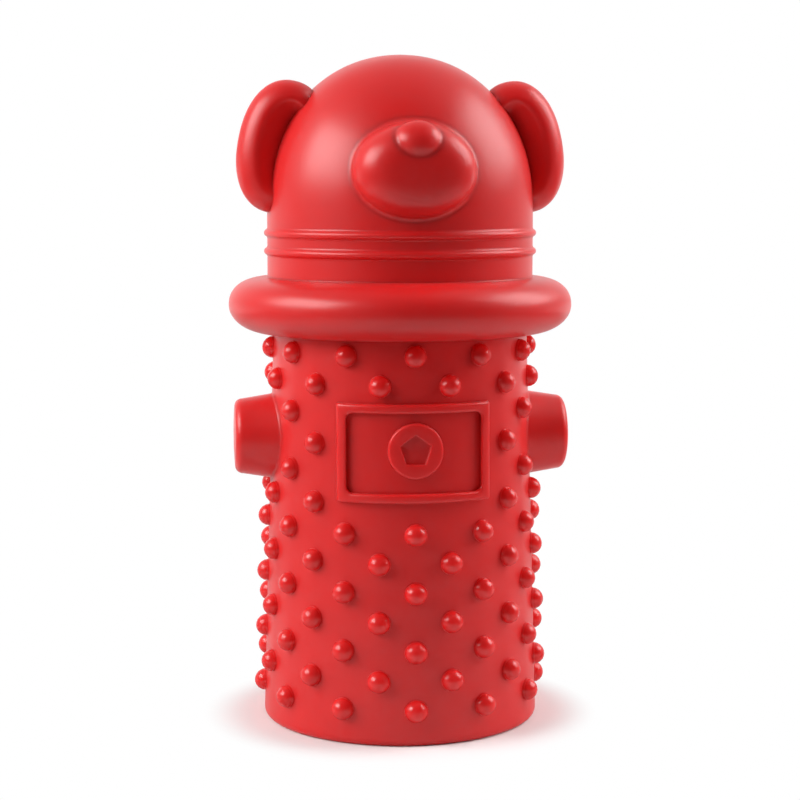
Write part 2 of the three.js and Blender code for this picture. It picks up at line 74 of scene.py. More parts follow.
MERGE_DISTANCE = 2e-6
WHITE = (1.0, 1.0, 1.0, 1.0)

# Sockets of a colour mix, by number.
MIX_SHARE, MIX_FIRST, MIX_SECOND, MIX_RESULT = 0, 6, 7, 2

Profile = list[tuple[float, float]]
Material = bpy.types.Material
Mesh = bpy.types.Mesh
Object = bpy.types.Object
Node = bpy.types.Node
Socket = bpy.types.NodeSocket
Tree = bpy.types.NodeTree


class Slot(Enum):
    """Finishes that the record names."""

    RUBBER = "red_rubber"
    PLASTIC = "ivory_plastic"
    FILM = "reed_film"


class Side(Enum):
    """Sides of the toy as the camera sees it: -1 lies towards -X."""

    LEFT = -1
    RIGHT = 1


# Nodes and colours


def to_linear(hex_colour: str) -> tuple[float, float, float, float]:
    """Turns an sRGB colour into the linear one that shaders take.

    Args:
        hex_colour: Colour such as "#d42c2b".

    Returns:
        Linear red, green, blue and an alpha of one.
    """
    shares = [int(hex_colour[i : i + 2], 16) / 255 for i in (1, 3, 5)]
    linear = [s / 12.92 if s <= 0.04045 else ((s + 0.055) / 1.055) ** 2.4 for s in shares]
    return (linear[0], linear[1], linear[2], 1.0)


def add_node(
    tree: Tree,
    kind: str,
    inputs: dict[str | int, object] | None = None,
    **settings: object,
) -> Node:
    """Adds a node, sets its properties and fills or links its inputs.

    Args:
        tree: Tree that takes the node.
        kind: Type of the node.
        inputs: Socket name or number, to a plain value, to the output that feeds it, or to a node
            whose first output feeds it.
        **settings: Properties of the node itself.

    Returns:
        The new node.
    """
    node = tree.nodes.new(kind)
    for name, value in settings.items():
        setattr(node, name, value)
    for key, value in (inputs or {}).items():
        source = value.outputs[0] if isinstance(value, Node) else value
        if isinstance(source, Socket):
            tree.links.new(source, node.inputs[key])
        else:
            node.inputs[key].default_value = source
    return node


def new_material(name: str) -> tuple[Material, Tree]:
    """Makes an empty node material.

    Args:
        name: Name of the real material.

    Returns:
        The material and its tree.
    """
    material = bpy.data.materials.new(name)
    material.use_nodes = True
    material.node_tree.nodes.clear()
    return material, material.node_tree


def per_metre(size: float) -> float:
    """Scale of a pattern whose features measure a given size in millimetres."""
    return 1 / (size * MM)


# Finishes


@dataclass(frozen=True)
class Pattern:
    """Noise on Object coordinates: the size of its features in millimetres, and its finer layers."""

    size: float
    detail: float = 2.0


@dataclass(frozen=True)
class MouldedRubber:
    """Natural rubber, compression-moulded in a blasted steel mould.

    The eye sees a saturated red with a satin skin: broad soft highlights, a fine even grain, slow
    changes of tone where the compound flowed, and a thin pale bloom that lifts the edges. The nubs
    are a little shinier. The blasted grain is too fine to show at its real size, so it is coarser here.
    """

    body: str = "#ea1f1f"
    deep: str = "#de1a1b"
    bloom: str = "#dd6a64"
    flow: Pattern = Pattern(16.0, detail=3.0)
    dust: Pattern = Pattern(4.0, detail=4.0)
    grain: Pattern = Pattern(0.45)
    dust_range: tuple[float, float] = (0.35, 0.75)
    dust_veil: tuple[float, float] = (0.0, 0.03)
    flow_range: tuple[float, float] = (0.2, 0.8)
    flow_roughness: tuple[float, float] = (0.31, 0.37)
    nub_polish: float = 0.12
    grain_depth: float = 0.012
    grain_strength: float = 0.22
    ior: float = 1.52
    haze: float = 0.4
    haze_roughness: float = 0.65
    haze_ior: float = 1.45
    glow: float = 0.8
    glow_depth: float = 3.0
    glow_spread: tuple[float, float, float] = (1.0, 0.15, 0.12)

    def material(self) -> Material:
        """Builds the material, with every pattern on Object coordinates.

        Returns:
            The material.
        """
        made, tree = new_material("moulded_natural_rubber")
        place = add_node(tree, "ShaderNodeTexCoord").outputs["Object"]
        flow, dust, grain = (
            add_node(
                tree,
                "ShaderNodeTexNoise",
                {"Vector": place, "Scale": per_metre(pattern.size), "Detail": pattern.detail},
            )
            for pattern in (self.flow, self.dust, self.grain)
        )
        veil, roughness = (
            add_node(
                tree,
                "ShaderNodeMapRange",
                {"Value": noise, "From Min": low, "From Max": high, "To Min": least, "To Max": most},
                interpolation_type="SMOOTHSTEP",
            )
            for noise, (low, high), (least, most) in (
                (dust, self.dust_range, self.dust_veil),
                (flow, self.flow_range, self.flow_roughness),
            )
        )
        colour: Socket | tuple[float, ...] = to_linear(self.body)
        for share, over in ((flow, self.deep), (veil, self.bloom)):
            colour = add_node(
                tree,
                "ShaderNodeMix",
                {MIX_SHARE: share, MIX_FIRST: colour, MIX_SECOND: to_linear(over)},
                data_type="RGBA",
            ).outputs[MIX_RESULT]
        nub = add_node(tree, "ShaderNodeAttribute", attribute_name=POLISH).outputs["Fac"]
        skin = add_node(
            tree,
            "ShaderNodeMath",
            {0: nub, 1: -self.nub_polish, 2: roughness},
            operation="MULTIPLY_ADD",
        )
        bump = add_node(
            tree,
            "ShaderNodeBump",
            {"Height": grain, "Strength": self.grain_strength, "Distance": self.grain_depth * MM},
        )
        shader = add_node(
            tree,
            "ShaderNodeBsdfPrincipled",
            {
                "Base Color": colour,
                "Roughness": skin,
                "Normal": bump,
                "IOR": self.ior,
                "Coat Weight": self.haze,
                "Coat Roughness": self.haze_roughness,
                "Coat IOR": self.haze_ior,
                "Coat Normal": bump,
                "Subsurface Weight": self.glow,
                "Subsurface Radius": self.glow_spread,
                "Subsurface Scale": self.glow_depth * MM,
            },
        )
        add_node(tree, "ShaderNodeOutputMaterial", {"Surface": shader})
        return made


@dataclass(frozen=True)
class Plastic:
    """Plain plastic whose tone follows one faint pattern.

    Its polish follows the same pattern, from smooth to rough, or is even where the two are equal.
    """

    name: str
    body: str
    shade: str
    pattern: Pattern
    stretch: float
    smooth: float
    rough: float
    ior: float

    def material(self) -> Material:
        """Builds the material, with its pattern stretched along Z.

        Returns:
            The material.
        """
        made, tree = new_material(self.name)
        place = add_node(tree, "ShaderNodeTexCoord").outputs["Object"]
        along = add_node(tree, "ShaderNodeMapping", {"Vector": place, "Scale": (1.0, 1.0, self.stretch)})
        noise = add_node(
            tree,
            "ShaderNodeTexNoise",
            {"Vector": along, "Scale": per_metre(self.pattern.size), "Detail": self.pattern.detail},
        )
        colour = add_node(
            tree,
            "ShaderNodeMix",
            {MIX_SHARE: noise, MIX_FIRST: to_linear(self.body), MIX_SECOND: to_linear(self.shade)},
            data_type="RGBA",
        ).outputs[MIX_RESULT]
        polish: Node | float = self.smooth
        if self.rough > self.smooth:
            polish = add_node(
                tree,
                "ShaderNodeMapRange",
                {"Value": noise, "To Min": self.smooth, "To Max": self.rough},
            )
        shader = add_node(
            tree,
            "ShaderNodeBsdfPrincipled",
            {"Base Color": colour, "Roughness": polish, "IOR": self.ior},
        )
        add_node(tree, "ShaderNodeOutputMaterial", {"Surface": shader})
        return made


@dataclass(frozen=True)
class MouldedPolyethylene(Plastic):
    """Low-density polyethylene, injection-moulded: ivory, waxy, with a faint cloud in its tone."""

    name: str = "moulded_polyethylene"
    body: str = "#e6e1d3"
    shade: str = "#d8d1bf"
    pattern: Pattern = Pattern(3.0)
    stretch: float = 1.0
    smooth: float = 0.36
    rough: float = 0.48
    ior: float = 1.51


@dataclass(frozen=True)
class DrawnFilm(Plastic):
    """Polyester film, drawn and slit: pale, glossy, with faint streaks along its length."""

    name: str = "drawn_polyester_film"
    body: str = "#c9d2d6"
    shade: str = "#b7c3c9"
    pattern: Pattern = Pattern(0.6)
    stretch: float = 0.05
    smooth: float = 0.16
    rough: float = 0.16
    ior: float = 1.64


@dataclass(frozen=True)
class Finishes:
    """Materials of the toy, by the record's slots."""

    materials: dict[Slot, Material]

    @classmethod
    def make(cls) -> "Finishes":
        """Builds every material once.

        Returns:
            The toy's finishes.
        """
        return cls(
            {
                Slot.RUBBER: MouldedRubber().material(),
                Slot.PLASTIC: MouldedPolyethylene().material(),
                Slot.FILM: DrawnFilm().material(),
            }
        )

    def paint(self, piece: Object, slot: Slot) -> None:
        """Gives a piece its material and names its slot.

        Args:
            piece: Piece that stays in view.
            slot: Finish that it takes.
        """
        piece.data.materials.clear()
        piece.data.materials.append(self.materials[slot])
        LOG.info("%s: %d faces of %s", piece.name, len(piece.data.polygons), slot.value)

    def dress(self, piece: Object, slot: Slot, *nodes: str) -> None:
        """Gives a new piece its body and its material, and hides what it stands for.

        Args:
            piece: Finished piece, at the origin.
            slot: Finish that it takes.
            *nodes: CAD nodes that it stands for.
        """
        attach(piece, TOY_BODY)
        self.paint(piece, slot)
        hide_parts(*nodes)


# Outlines and meshes


def bisect(value: Callable[[float], float], low: float, high: float, steps: int = 40) -> float:
    """Finds where a falling value crosses zero.

    Args:
        value: Function that is positive at low and negative at high.
        low: Start of the search.
        high: End of the search.
        steps: Halvings.

    Returns:
        The crossing.
    """
    for _ in range(steps):
        middle = (low + high) / 2
        if value(middle) > 0:
            low = middle
        else:
            high = middle
    return (low + high) / 2


def bend(start: Vector, corner: Vector, end: Vector, steps: int) -> list[Vector]:
    """Draws a smooth bend from one side of a corner to the other.

    Args:
        start: Point where the bend begins.
        corner: Corner that it rounds off.
        end: Point where the bend ends.
        steps: Segments of the bend.

    Returns:
        Its points, both ends included.
    """
    points = []
    for i in range(steps + 1):
        t = i / steps
        points.append(start * (1 - t) ** 2 + corner * (2 * t * (1 - t)) + end * t**2)
    return points


def soften(corners: Sequence[tuple[float, float, float]], steps: int = 5) -> Profile:
    """Rounds the corners of a profile.

    Args:
        corners: Radius, height and rounding of each corner. A rounding of zero keeps it sharp.
        steps: Segments of each rounding.

    Returns:
        The profile as radii and heights.
    """
    profile: Profile = []
    for i, (radius, height, rounding) in enumerate(corners):
        here = Vector((radius, height))
        if rounding == 0:
            profile.append((radius, height))
            continue
        before = Vector(corners[i - 1][:2])
        after = Vector(corners[(i + 1) % len(corners)][:2])
        start = here + (before - here).normalized() * rounding
        end = here + (after - here).normalized() * rounding
        profile.extend((point.x, point.y) for point in bend(start, here, end, steps))
    return profile


def turns(count: int) -> list[float]:
    """Angles of a full turn in equal steps."""
    return [FULL_TURN * i / count for i in range(count)]


def around(radius: float, height: float, sides: int) -> list[Vector]:
    """Draws a ring about Z.

    Args:
        radius: Radius of the ring. Nought gives a single point on the axis.
        height: Height of the ring.
        sides: Points of the ring.

    Returns:
        The points.
    """
    if radius == 0:
        return [Vector((0, 0, height))]
    return [Vector((radius * math.cos(a), radius * math.sin(a), height)) for a in turns(sides)]


def to_object(name: str, data: bpy.types.ID) -> Object:
    """Puts a mesh, a lamp or a camera into the scene, at the origin.

    Args:
        name: Name of the new object.
        data: What the object shows.

    Returns:
        The object.
    """
    made = bpy.data.objects.new(name, data)
    bpy.context.scene.collection.objects.link(made)
    return made


def tidy_mesh(mesh: Mesh) -> None:
    """Merges doubled points, points the faces out and smooths what isn't a real edge.

    Args:
        mesh: Mesh to put in order.
    """
    work = bmesh.new()
    work.from_mesh(mesh)
    bmesh.ops.remove_doubles(work, verts=work.verts, dist=MERGE_DISTANCE)
    bmesh.ops.recalc_face_normals(work, faces=work.faces)
    work.to_mesh(mesh)
    work.free()
    mesh.shade_smooth()
    mesh.set_sharp_from_angle(angle=SHARP_ANGLE)


def bake_modifiers(piece: Object, name: str) -> Mesh:
    """Turns an object with modifiers into a plain mesh and removes the object.

    Args:
        piece: Object whose modifiers make the shape.
        name: Name of the new mesh.

    Returns:
        The finished mesh.
    """
    evaluated = piece.evaluated_get(bpy.context.evaluated_depsgraph_get())
    mesh = bpy.data.meshes.new_from_object(evaluated)
    mesh.name = name
    bpy.data.objects.remove(piece)
    return mesh


class Draft:
    """Points and faces of a piece, in millimetres, before it becomes an object."""

    def __init__(self) -> None:
        """Starts empty."""
        self.points: list[Vector] = []
        self.faces: list[tuple[int, ...]] = []

    def ring(self, points: Sequence[Vector]) -> list[int]:
        """Adds a ring of points.

        Args:
            points: The points, in order.

        Returns:
            Their numbers.
        """
        first = len(self.points)
        self.points.extend(points)
        return list(range(first, len(self.points)))

    def bridge(self, first: list[int], second: list[int]) -> None:
        """Joins two closed rings with faces, as a fan where one of them is a single point.

        Args:
            first: Numbers of the first ring's points.
            second: Numbers of the second ring's points.
        """
        count = max(len(first), len(second))
        for i in range(count):
            j = (i + 1) % count
            a, b = first[i % len(first)], first[j % len(first)]
            c, d = second[j % len(second)], second[i % len(second)]
            self.faces.append(tuple(dict.fromkeys((a, b, c, d))))

    def loft(self, rings: Sequence[Sequence[Vector]], closed: bool = False) -> "Draft":
        """Joins rings in order.

        Args:
            rings: Rings of points, each with the same count or a single point.
            closed: Whether the last ring joins the first.

        Returns:
            This draft.
        """
        numbers = [self.ring(points) for points in rings]
        for first, second in zip(numbers, numbers[1:]):
            self.bridge(first, second)
        if closed:
            self.bridge(numbers[-1], numbers[0])
        return self

    def mesh(self, name: str) -> Mesh:
        """Makes the mesh, in metres.

        Args:
            name: Name of the mesh.

        Returns:
            The mesh.
        """
        made = bpy.data.meshes.new(name)
        made.from_pydata([point * MM for point in self.points], [], self.faces)
        tidy_mesh(made)
        return made

    def build(self, name: str) -> Object:
        """Makes the object."""
        return to_object(name, self.mesh(name))


def turned(profile: Profile, sides: int, closed: bool = False) -> Draft:
    """Draft of a shape turned about Z.

    Args:
        profile: Radii and heights, from axis to axis or round a ring.
        sides: Points of each ring.
        closed: Whether the profile closes on itself.

    Returns:
        The draft.
    """
    return Draft().loft([around(radius, height, sides) for radius, height in profile], closed)


# Surfaces that carry other pieces


class Surface(Protocol):
    """Skin that a boss can stand on."""

    def outside(self, point: Vector) -> float:
        """Positive outside the skin and negative inside it."""

    def land(self, point: Vector, proud: float = 0.0) -> Vector:
        """Brings a point onto the skin, or a little above or below it."""


@dataclass(frozen=True)
class TurnedSurface:
    """Skin of a shape turned about Z, given by its radius at each height."""

    radius: Callable[[float], float]

    def outside(self, point: Vector) -> float:
        """Distance from the skin, measured away from the axis."""
        return point.xy.length - self.radius(point.z)

    def land(self, point: Vector, proud: float = 0.0) -> Vector:
        """Moves a point straight to or from the axis, onto the skin."""
        flat = point.xy.normalized() * (self.radius(point.z) + proud)
        return Vector((flat.x, flat.y, point.z))


@dataclass(frozen=True)
class EggSurface:
    """Skin of an egg with its own half sizes along X, Y and Z.

    The power says how blunt its ends along Y are, and 2 gives a plain egg.
    """

    centre: Vector
    half: Vector
    power: float

    def level(self, point: Vector) -> float:
        """Tells how far out a point lies.

        Args:
            point: Any point.

        Returns:
            One on the skin, more outside it and less inside it.
        """
        arm = point - self.centre
        side = math.hypot(arm.x / self.half.x, arm.z / self.half.z)
        return (side**self.power + abs(arm.y / self.half.y) ** self.power) ** (1 / self.power)

    def outside(self, point: Vector) -> float:
        """Level above the skin."""
        return self.level(point) - 1

    def land(self, point: Vector, proud: float = 0.0) -> Vector:
        """Moves a point along the line to the egg's centre, onto the skin."""
        arm = (point - self.centre) / self.level(point)
        return self.centre + arm + arm.normalized() * proud


@dataclass(frozen=True)
class Foot:
    """Fillet where a boss grows out of the surface that carries it."""

    surface: Surface
    reach: float
    steps: int = 6
    sink: float = 0.8
    hold: float = 0.5
    hold_sink: float = 0.02

    def trace(self, flank: Callable[[float], Vector], outward: Vector) -> tuple[float, list[Vector]]:
        """Ends a flank in the surface.

        Args:
            flank: Line of the boss, from clear of the surface at 0 to inside it at 1.
            outward: Direction away from the boss.

        Returns:
            How far the flank itself runs, and the points of the fillet and of its buried edge.
        """
        crease = bisect(lambda t: self.surface.outside(flank(t)), 0.0, 1.0)
        corner = flank(crease)
        start = bisect(lambda t: (flank(t) - corner).length - self.reach, 0.0, crease)
        landing = self.surface.land(corner + outward * self.reach)
        points = bend(flank(start), corner, landing, self.steps)
        points.append(self.surface.land(corner + outward * (self.reach + self.hold), -self.hold_sink))
        points.append(self.surface.land(corner + outward * (self.reach + self.sink), -self.sink))
        return start, points


def across_lines(lines: Sequence[Sequence[Vector]]) -> list[list[Vector]]:
    """Turns lines that run outwards into the rings that cross them."""
    return [list(ring) for ring in zip(*lines)]


# Barrel and its nubs


class Tile(Enum):
    """Shapes that the barrel's skin is laid from, in the order of their names."""

    NUB = "tile_0_nub"
    BARE = "tile_1_bare"
    UPPER_HALF = "tile_2_upper_half"
    LOWER_HALF = "tile_3_lower_half"


@dataclass(frozen=True)
class Barrel:
    """Hollow tapered barrel whose outside carries staggered rows of nubs.

    The skin is laid flat from diamond tiles, one for each place in the nubs' pattern, and is then
    rolled up, so that nubs and barrel are one unbroken surface. It starts at the height of the
    bottom edge, whose rounding stops just short of it so that no two points fall together.
    """

    base_radius: float = 31.4
    mouth_radius: float = 28.6
    height: float = 94.1
    wall: float = 7.0
    floor: float = 7.0
    edge: float = 1.6
    mouth_edge: float = 0.5
    plug_recess_radius: float = 17.3
    plug_recess: float = 3.0
    plug_hole_radius: float = 14.3
    edge_rounding: float = 1.568
    chamber_fillet: float = 2.0
    nubs_per_row: int = 12
    rows: int = 13
    pitch: float = 6.4
    lowest: float = 7.9
    nub_radius: float = 2.5
    nub_lifts: tuple[float, ...] = (0.0, 20.0, 40.0, 59.0, 76.0)
    nub_sides: int = 16
    nub_clearance: float = 0.5

    def radius(self, height: float) -> float:
        """Radius of the outside at a height, without nubs."""
        return self.base_radius + (self.mouth_radius - self.base_radius) * height / self.height

    def surface(self) -> TurnedSurface:
        """Skin without nubs."""
        return TurnedSurface(self.radius)

    def front(self, across: float, height: float, proud: float) -> Vector:
        """Point on or above the front of the barrel, straight behind a point of the front view."""
        reach = self.radius(height) + proud
        return Vector((across, -math.sqrt(reach**2 - across**2), height))

    @property
    def flat_radius(self) -> float:
        """Radius at which the flat skin has its true width."""
        return (self.base_radius + self.mouth_radius) / 2

    @property
    def half_tile(self) -> float:
        """Half the width of a tile."""
        return math.pi * self.flat_radius / self.nubs_per_row

    @property
    def per_edge(self) -> int:
        """Steps along one of the four edges of a tile, which has as many points as a nub has sides."""
        return self.nub_sides // 4

    def row_height(self, row: int) -> float:
        """Height of a row of places."""
        return self.lowest + row * self.pitch

    def diamond(self) -> list[Vector]:
        """Draws a tile's edge.

        Returns:
            Its points, with as many as a nub has sides.
        """
        corners = [(self.half_tile, 0), (0, self.pitch), (-self.half_tile, 0), (0, -self.pitch)]
        points = []
        for (x, z), (next_x, next_z) in zip(corners, corners[1:] + corners[:1]):
            for i in range(self.per_edge):
                t = i / self.per_edge
                points.append(Vector((x + (next_x - x) * t, 0, z + (next_z - z) * t)))
        return points

    def nub_tile(self) -> Draft:
        """Draws a tile with a nub on it. What stands proud of the skin lies towards -Y.

        Returns:
            The draft of the tile.
        """
        rings = [self.diamond()]
        angles = turns(self.nub_sides)
        for lift in self.nub_lifts:
            radius = self.nub_radius * math.cos(math.radians(lift))
            proud = self.nub_radius * math.sin(math.radians(lift))
            rings.append([Vector((radius * math.cos(a), -proud, radius * math.sin(a))) for a in angles])
        rings.append([Vector((0, -self.nub_radius, 0))])
        return Draft().loft(rings)

    def plain_tile(self, *signs: int) -> Draft:
        """Draws one or both halves of a tile without a nub.

        Args:
            *signs: 1 for the half above the tile's middle line, and -1 for the one below it.

        Returns:
            The draft of the tile.
        """
        draft = Draft()
        step = self.half_tile / self.per_edge
        for sign in signs:
            lines = []
            for level in range(self.per_edge + 1):
                reach = self.per_edge - level
                height = sign * self.pitch * level / self.per_edge
                line = [Vector((step * i, 0, height)) for i in range(-reach, reach + 1)]
                lines.append(draft.ring(line))
            for lower, upper in zip(lines, lines[1:]):
                draft.faces.append((lower[0], lower[1], upper[0]))
                draft.faces.append((lower[-2], lower[-1], upper[-1]))
                for i in range(len(upper) - 1):
                    draft.faces.append((lower[i + 1], lower[i + 2], upper[i + 1], upper[i]))
        return draft

    def tile_at(self, row: int, turn: float, is_clear: Callable[[float, float], bool]) -> Tile:
        """Chooses the tile of one place in the pattern.

        Args:
            row: Row of the place. One row below and one above the nubs close the pattern.
            turn: Angle of the place from the front.
            is_clear: Whether a nub may stand at an angle from the front and a height.

        Returns:
            The tile.
        """
        if row < 0:
            return Tile.UPPER_HALF
        if row == self.rows:
            return Tile.LOWER_HALF
        return Tile.NUB if is_clear(turn, self.row_height(row)) else Tile.BARE

    def places(self, is_clear: Callable[[float, float], bool]) -> Object:
        """Makes the flat pattern's points, each with the number of its tile.

        Args:
            is_clear: Whether a nub may stand at an angle from the front and a height.

        Returns:
            An object of loose points.
        """
        points = []
        numbers = []
        order = list(Tile)
        for row in range(-1, self.rows + 1):
            for column in range(self.nubs_per_row):
                share = (column + (row % 2) / 2) / self.nubs_per_row
                turn = FULL_TURN * (share if share <= 0.5 else share - 1)
                points.append(Vector((turn * self.flat_radius, 0, self.row_height(row))) * MM)
                numbers.append(order.index(self.tile_at(row, turn, is_clear)))
        mesh = bpy.data.meshes.new("nub_places")
        mesh.from_pydata(points, [], [])
        mesh.attributes.new("tile", "INT", "POINT").data.foreach_set("value", numbers)
        return to_object("nub_places", mesh)

    def roll_tree(self, tiles: bpy.types.Collection, finish: Material) -> Tree:
        """Node tree that lays the tiles, rolls the skin up and welds it.

        Args:
            tiles: The four tiles, in the order of their names.
            finish: Material of the skin.

        Returns:
            The tree, whose sizes are named inputs.
        """
        tree = bpy.data.node_groups.new("rolled_nub_skin", "GeometryNodeTree")
        face = tree.interface
        face.new_socket("Geometry", in_out="INPUT", socket_type="NodeSocketGeometry")
        for name in ("Flat Radius", "Base Radius", "Taper", "Squeeze Below", "Squeeze"):
            face.new_socket(name, in_out="INPUT", socket_type="NodeSocketFloat")
        face.new_socket("Geometry", in_out="OUTPUT", socket_type="NodeSocketGeometry")
        given = add_node(tree, "NodeGroupInput").outputs
        number = add_node(tree, "GeometryNodeInputNamedAttribute", {"Name": "tile"}, data_type="INT")
        stock = add_node(
            tree,
            "GeometryNodeCollectionInfo",
            {"Collection": tiles, "Separate Children": True, "Reset Children": True},
        )
        laid = add_node(
            tree,
            "GeometryNodeInstanceOnPoints",
            {
                "Points": given["Geometry"],
                "Instance": stock,
                "Pick Instance": True,
                "Instance Index": number,
            },
        )
        flat = add_node(tree, "GeometryNodeRealizeInstances", {"Geometry": laid})
        place = add_node(tree, "GeometryNodeInputPosition")
        axis = add_node(tree, "ShaderNodeSeparateXYZ", {0: place}).outputs
        limit = given["Squeeze Below"]
        under = add_node(tree, "ShaderNodeMath", {0: axis["Z"], 1: limit}, operation="SUBTRACT")
        below = add_node(tree, "ShaderNodeMath", {0: under, 1: 0.0}, operation="MINIMUM")
        above = add_node(tree, "ShaderNodeMath", {0: axis["Z"], 1: limit}, operation="MAXIMUM")
        height = add_node(
            tree,
            "ShaderNodeMath",
            {0: below, 1: given["Squeeze"], 2: above},
            operation="MULTIPLY_ADD",
        )
        radius = add_node(
            tree,
            "ShaderNodeMath",
            {0: height, 1: given["Taper"], 2: given["Base Radius"]},
            operation="MULTIPLY_ADD",
        )
        reach = add_node(tree, "ShaderNodeMath", {0: axis["Y"], 1: radius}, operation="SUBTRACT")
        turn = add_node(
            tree, "ShaderNodeMath", {0: axis["X"], 1: given["Flat Radius"]}, operation="DIVIDE"
        )
        arm = add_node(tree, "ShaderNodeCombineXYZ", {"Y": reach, "Z": height})
        rolled = add_node(
            tree, "ShaderNodeVectorRotate", {"Vector": arm, "Angle": turn}, rotation_type="Z_AXIS"
        )
        skin = add_node(tree, "GeometryNodeSetPosition", {"Geometry": flat, "Position": rolled})
        welded = add_node(
            tree, "GeometryNodeMergeByDistance", {"Geometry": skin, "Distance": MERGE_DISTANCE}
        )
        dressed = add_node(tree, "GeometryNodeSetMaterial", {"Geometry": welded, "Material": finish})
        add_node(tree, "NodeGroupOutput", {0: dressed})
        return tree

    def skin(self, is_clear: Callable[[float, float], bool], finish: Material) -> Mesh:
        """Rolls the nubbed skin up from its tiles.

        Args:
            is_clear: Whether a nub may stand at an angle from the front and a height.
            finish: Material of the skin.

        Returns:
            The skin, open at its foot and its top.
        """
        tiles = bpy.data.collections.new("nub_tiles")
        drafts = {
            Tile.NUB: self.nub_tile(),
            Tile.BARE: self.plain_tile(1, -1),
            Tile.UPPER_HALF: self.plain_tile(1),
            Tile.LOWER_HALF: self.plain_tile(-1),
        }
        for tile, draft in drafts.items():
            mesh = draft.mesh(tile.value)
            proud = [float(vert.co.y < 0) for vert in mesh.vertices]
            mesh.attributes.new(POLISH, "FLOAT", "POINT").data.foreach_set("value", proud)
            tiles.objects.link(bpy.data.objects.new(tile.value, mesh))
        carrier = self.places(is_clear)
        squeeze_below = self.lowest - self.nub_radius - self.nub_clearance
        sizes = {
            "Flat Radius": self.flat_radius * MM,
            "Base Radius": self.base_radius * MM,
            "Taper": (self.mouth_radius - self.base_radius) / self.height,
            "Squeeze Below": squeeze_below * MM,
            "Squeeze": (squeeze_below - self.edge) / (squeeze_below - self.lowest + self.pitch),
        }
        roll = carrier.modifiers.new("roll", "NODES")
        roll.node_group = self.roll_tree(tiles, finish)
        for socket in roll.node_group.interface.items_tree:
            if socket.name in sizes:
                roll[socket.identifier] = sizes[socket.name]
        mesh = bake_modifiers(carrier, "barrel_moulding")
        for tile in list(tiles.objects):
            bpy.data.objects.remove(tile)
        bpy.data.collections.remove(tiles)
        return mesh

    def inside_profile(self) -> Profile:
        """Draws the edge, underside, plug hole, chamber and mouth.

        Returns:
            Radii and heights from the skin's foot to its top, both left out.
        """
        skin_top = self.row_height(self.rows)
        return soften(
            [
                (self.radius(self.edge), self.edge, 0),
                (self.radius(0), 0, self.edge_rounding),
                (self.plug_recess_radius, 0, self.mouth_edge),
                (self.plug_recess_radius, self.plug_recess, 0),
                (self.plug_hole_radius, self.plug_recess, 0),
                (self.plug_hole_radius, self.floor, 0),
                (self.radius(self.floor) - self.wall, self.floor, self.chamber_fillet),
                (self.mouth_radius - self.wall, self.height, self.mouth_edge),
                (self.mouth_radius, self.height, self.mouth_edge),
                (self.radius(skin_top), skin_top, 0),
            ]
        )[1:-1]

    def close(self, mesh: Mesh) -> None:
        """Closes the skin with the barrel's underside, chamber and mouth.

        Args:
            mesh: The open skin.
        """
        work = bmesh.new()
        work.from_mesh(mesh)
        bmesh.ops.remove_doubles(work, verts=work.verts, dist=MERGE_DISTANCE)
        open_edge = {vert for edge in work.edges if edge.is_boundary for vert in edge.verts}
        in_turn = sorted(open_edge, key=lambda vert: math.atan2(vert.co.y, vert.co.x))
        middle = self.height * MM / 2
        foot = [vert for vert in in_turn if vert.co.z < middle]
        top = [vert for vert in in_turn if vert.co.z > middle]
        angles = [math.atan2(vert.co.y, vert.co.x) for vert in foot]
        rings = [foot]
        for radius, height in self.inside_profile():
            points = [Vector((radius * math.cos(a), radius * math.sin(a), height)) * MM for a in angles]
            rings.append([work.verts.new(point) for point in points])
        rings.append(top)
        for first, second in zip(rings, rings[1:]):
            for i in range(len(first)):
                work.faces.new((first[i - 1], first[i], second[i], second[i - 1]))
        work.to_mesh(mesh)
        work.free()
        tidy_mesh(mesh)

    def build(self, finishes: Finishes, is_clear: Callable[[float, float], bool]) -> None:
        """Makes the barrel.

        Args:
            finishes: Materials of the toy.
            is_clear: Whether a nub may stand at an angle from the front and a height.
        """
        mesh = self.skin(is_clear, finishes.materials[Slot.RUBBER])
        self.close(mesh)
        finishes.dress(to_object("barrel_moulding", mesh), Slot.RUBBER, "barrel")


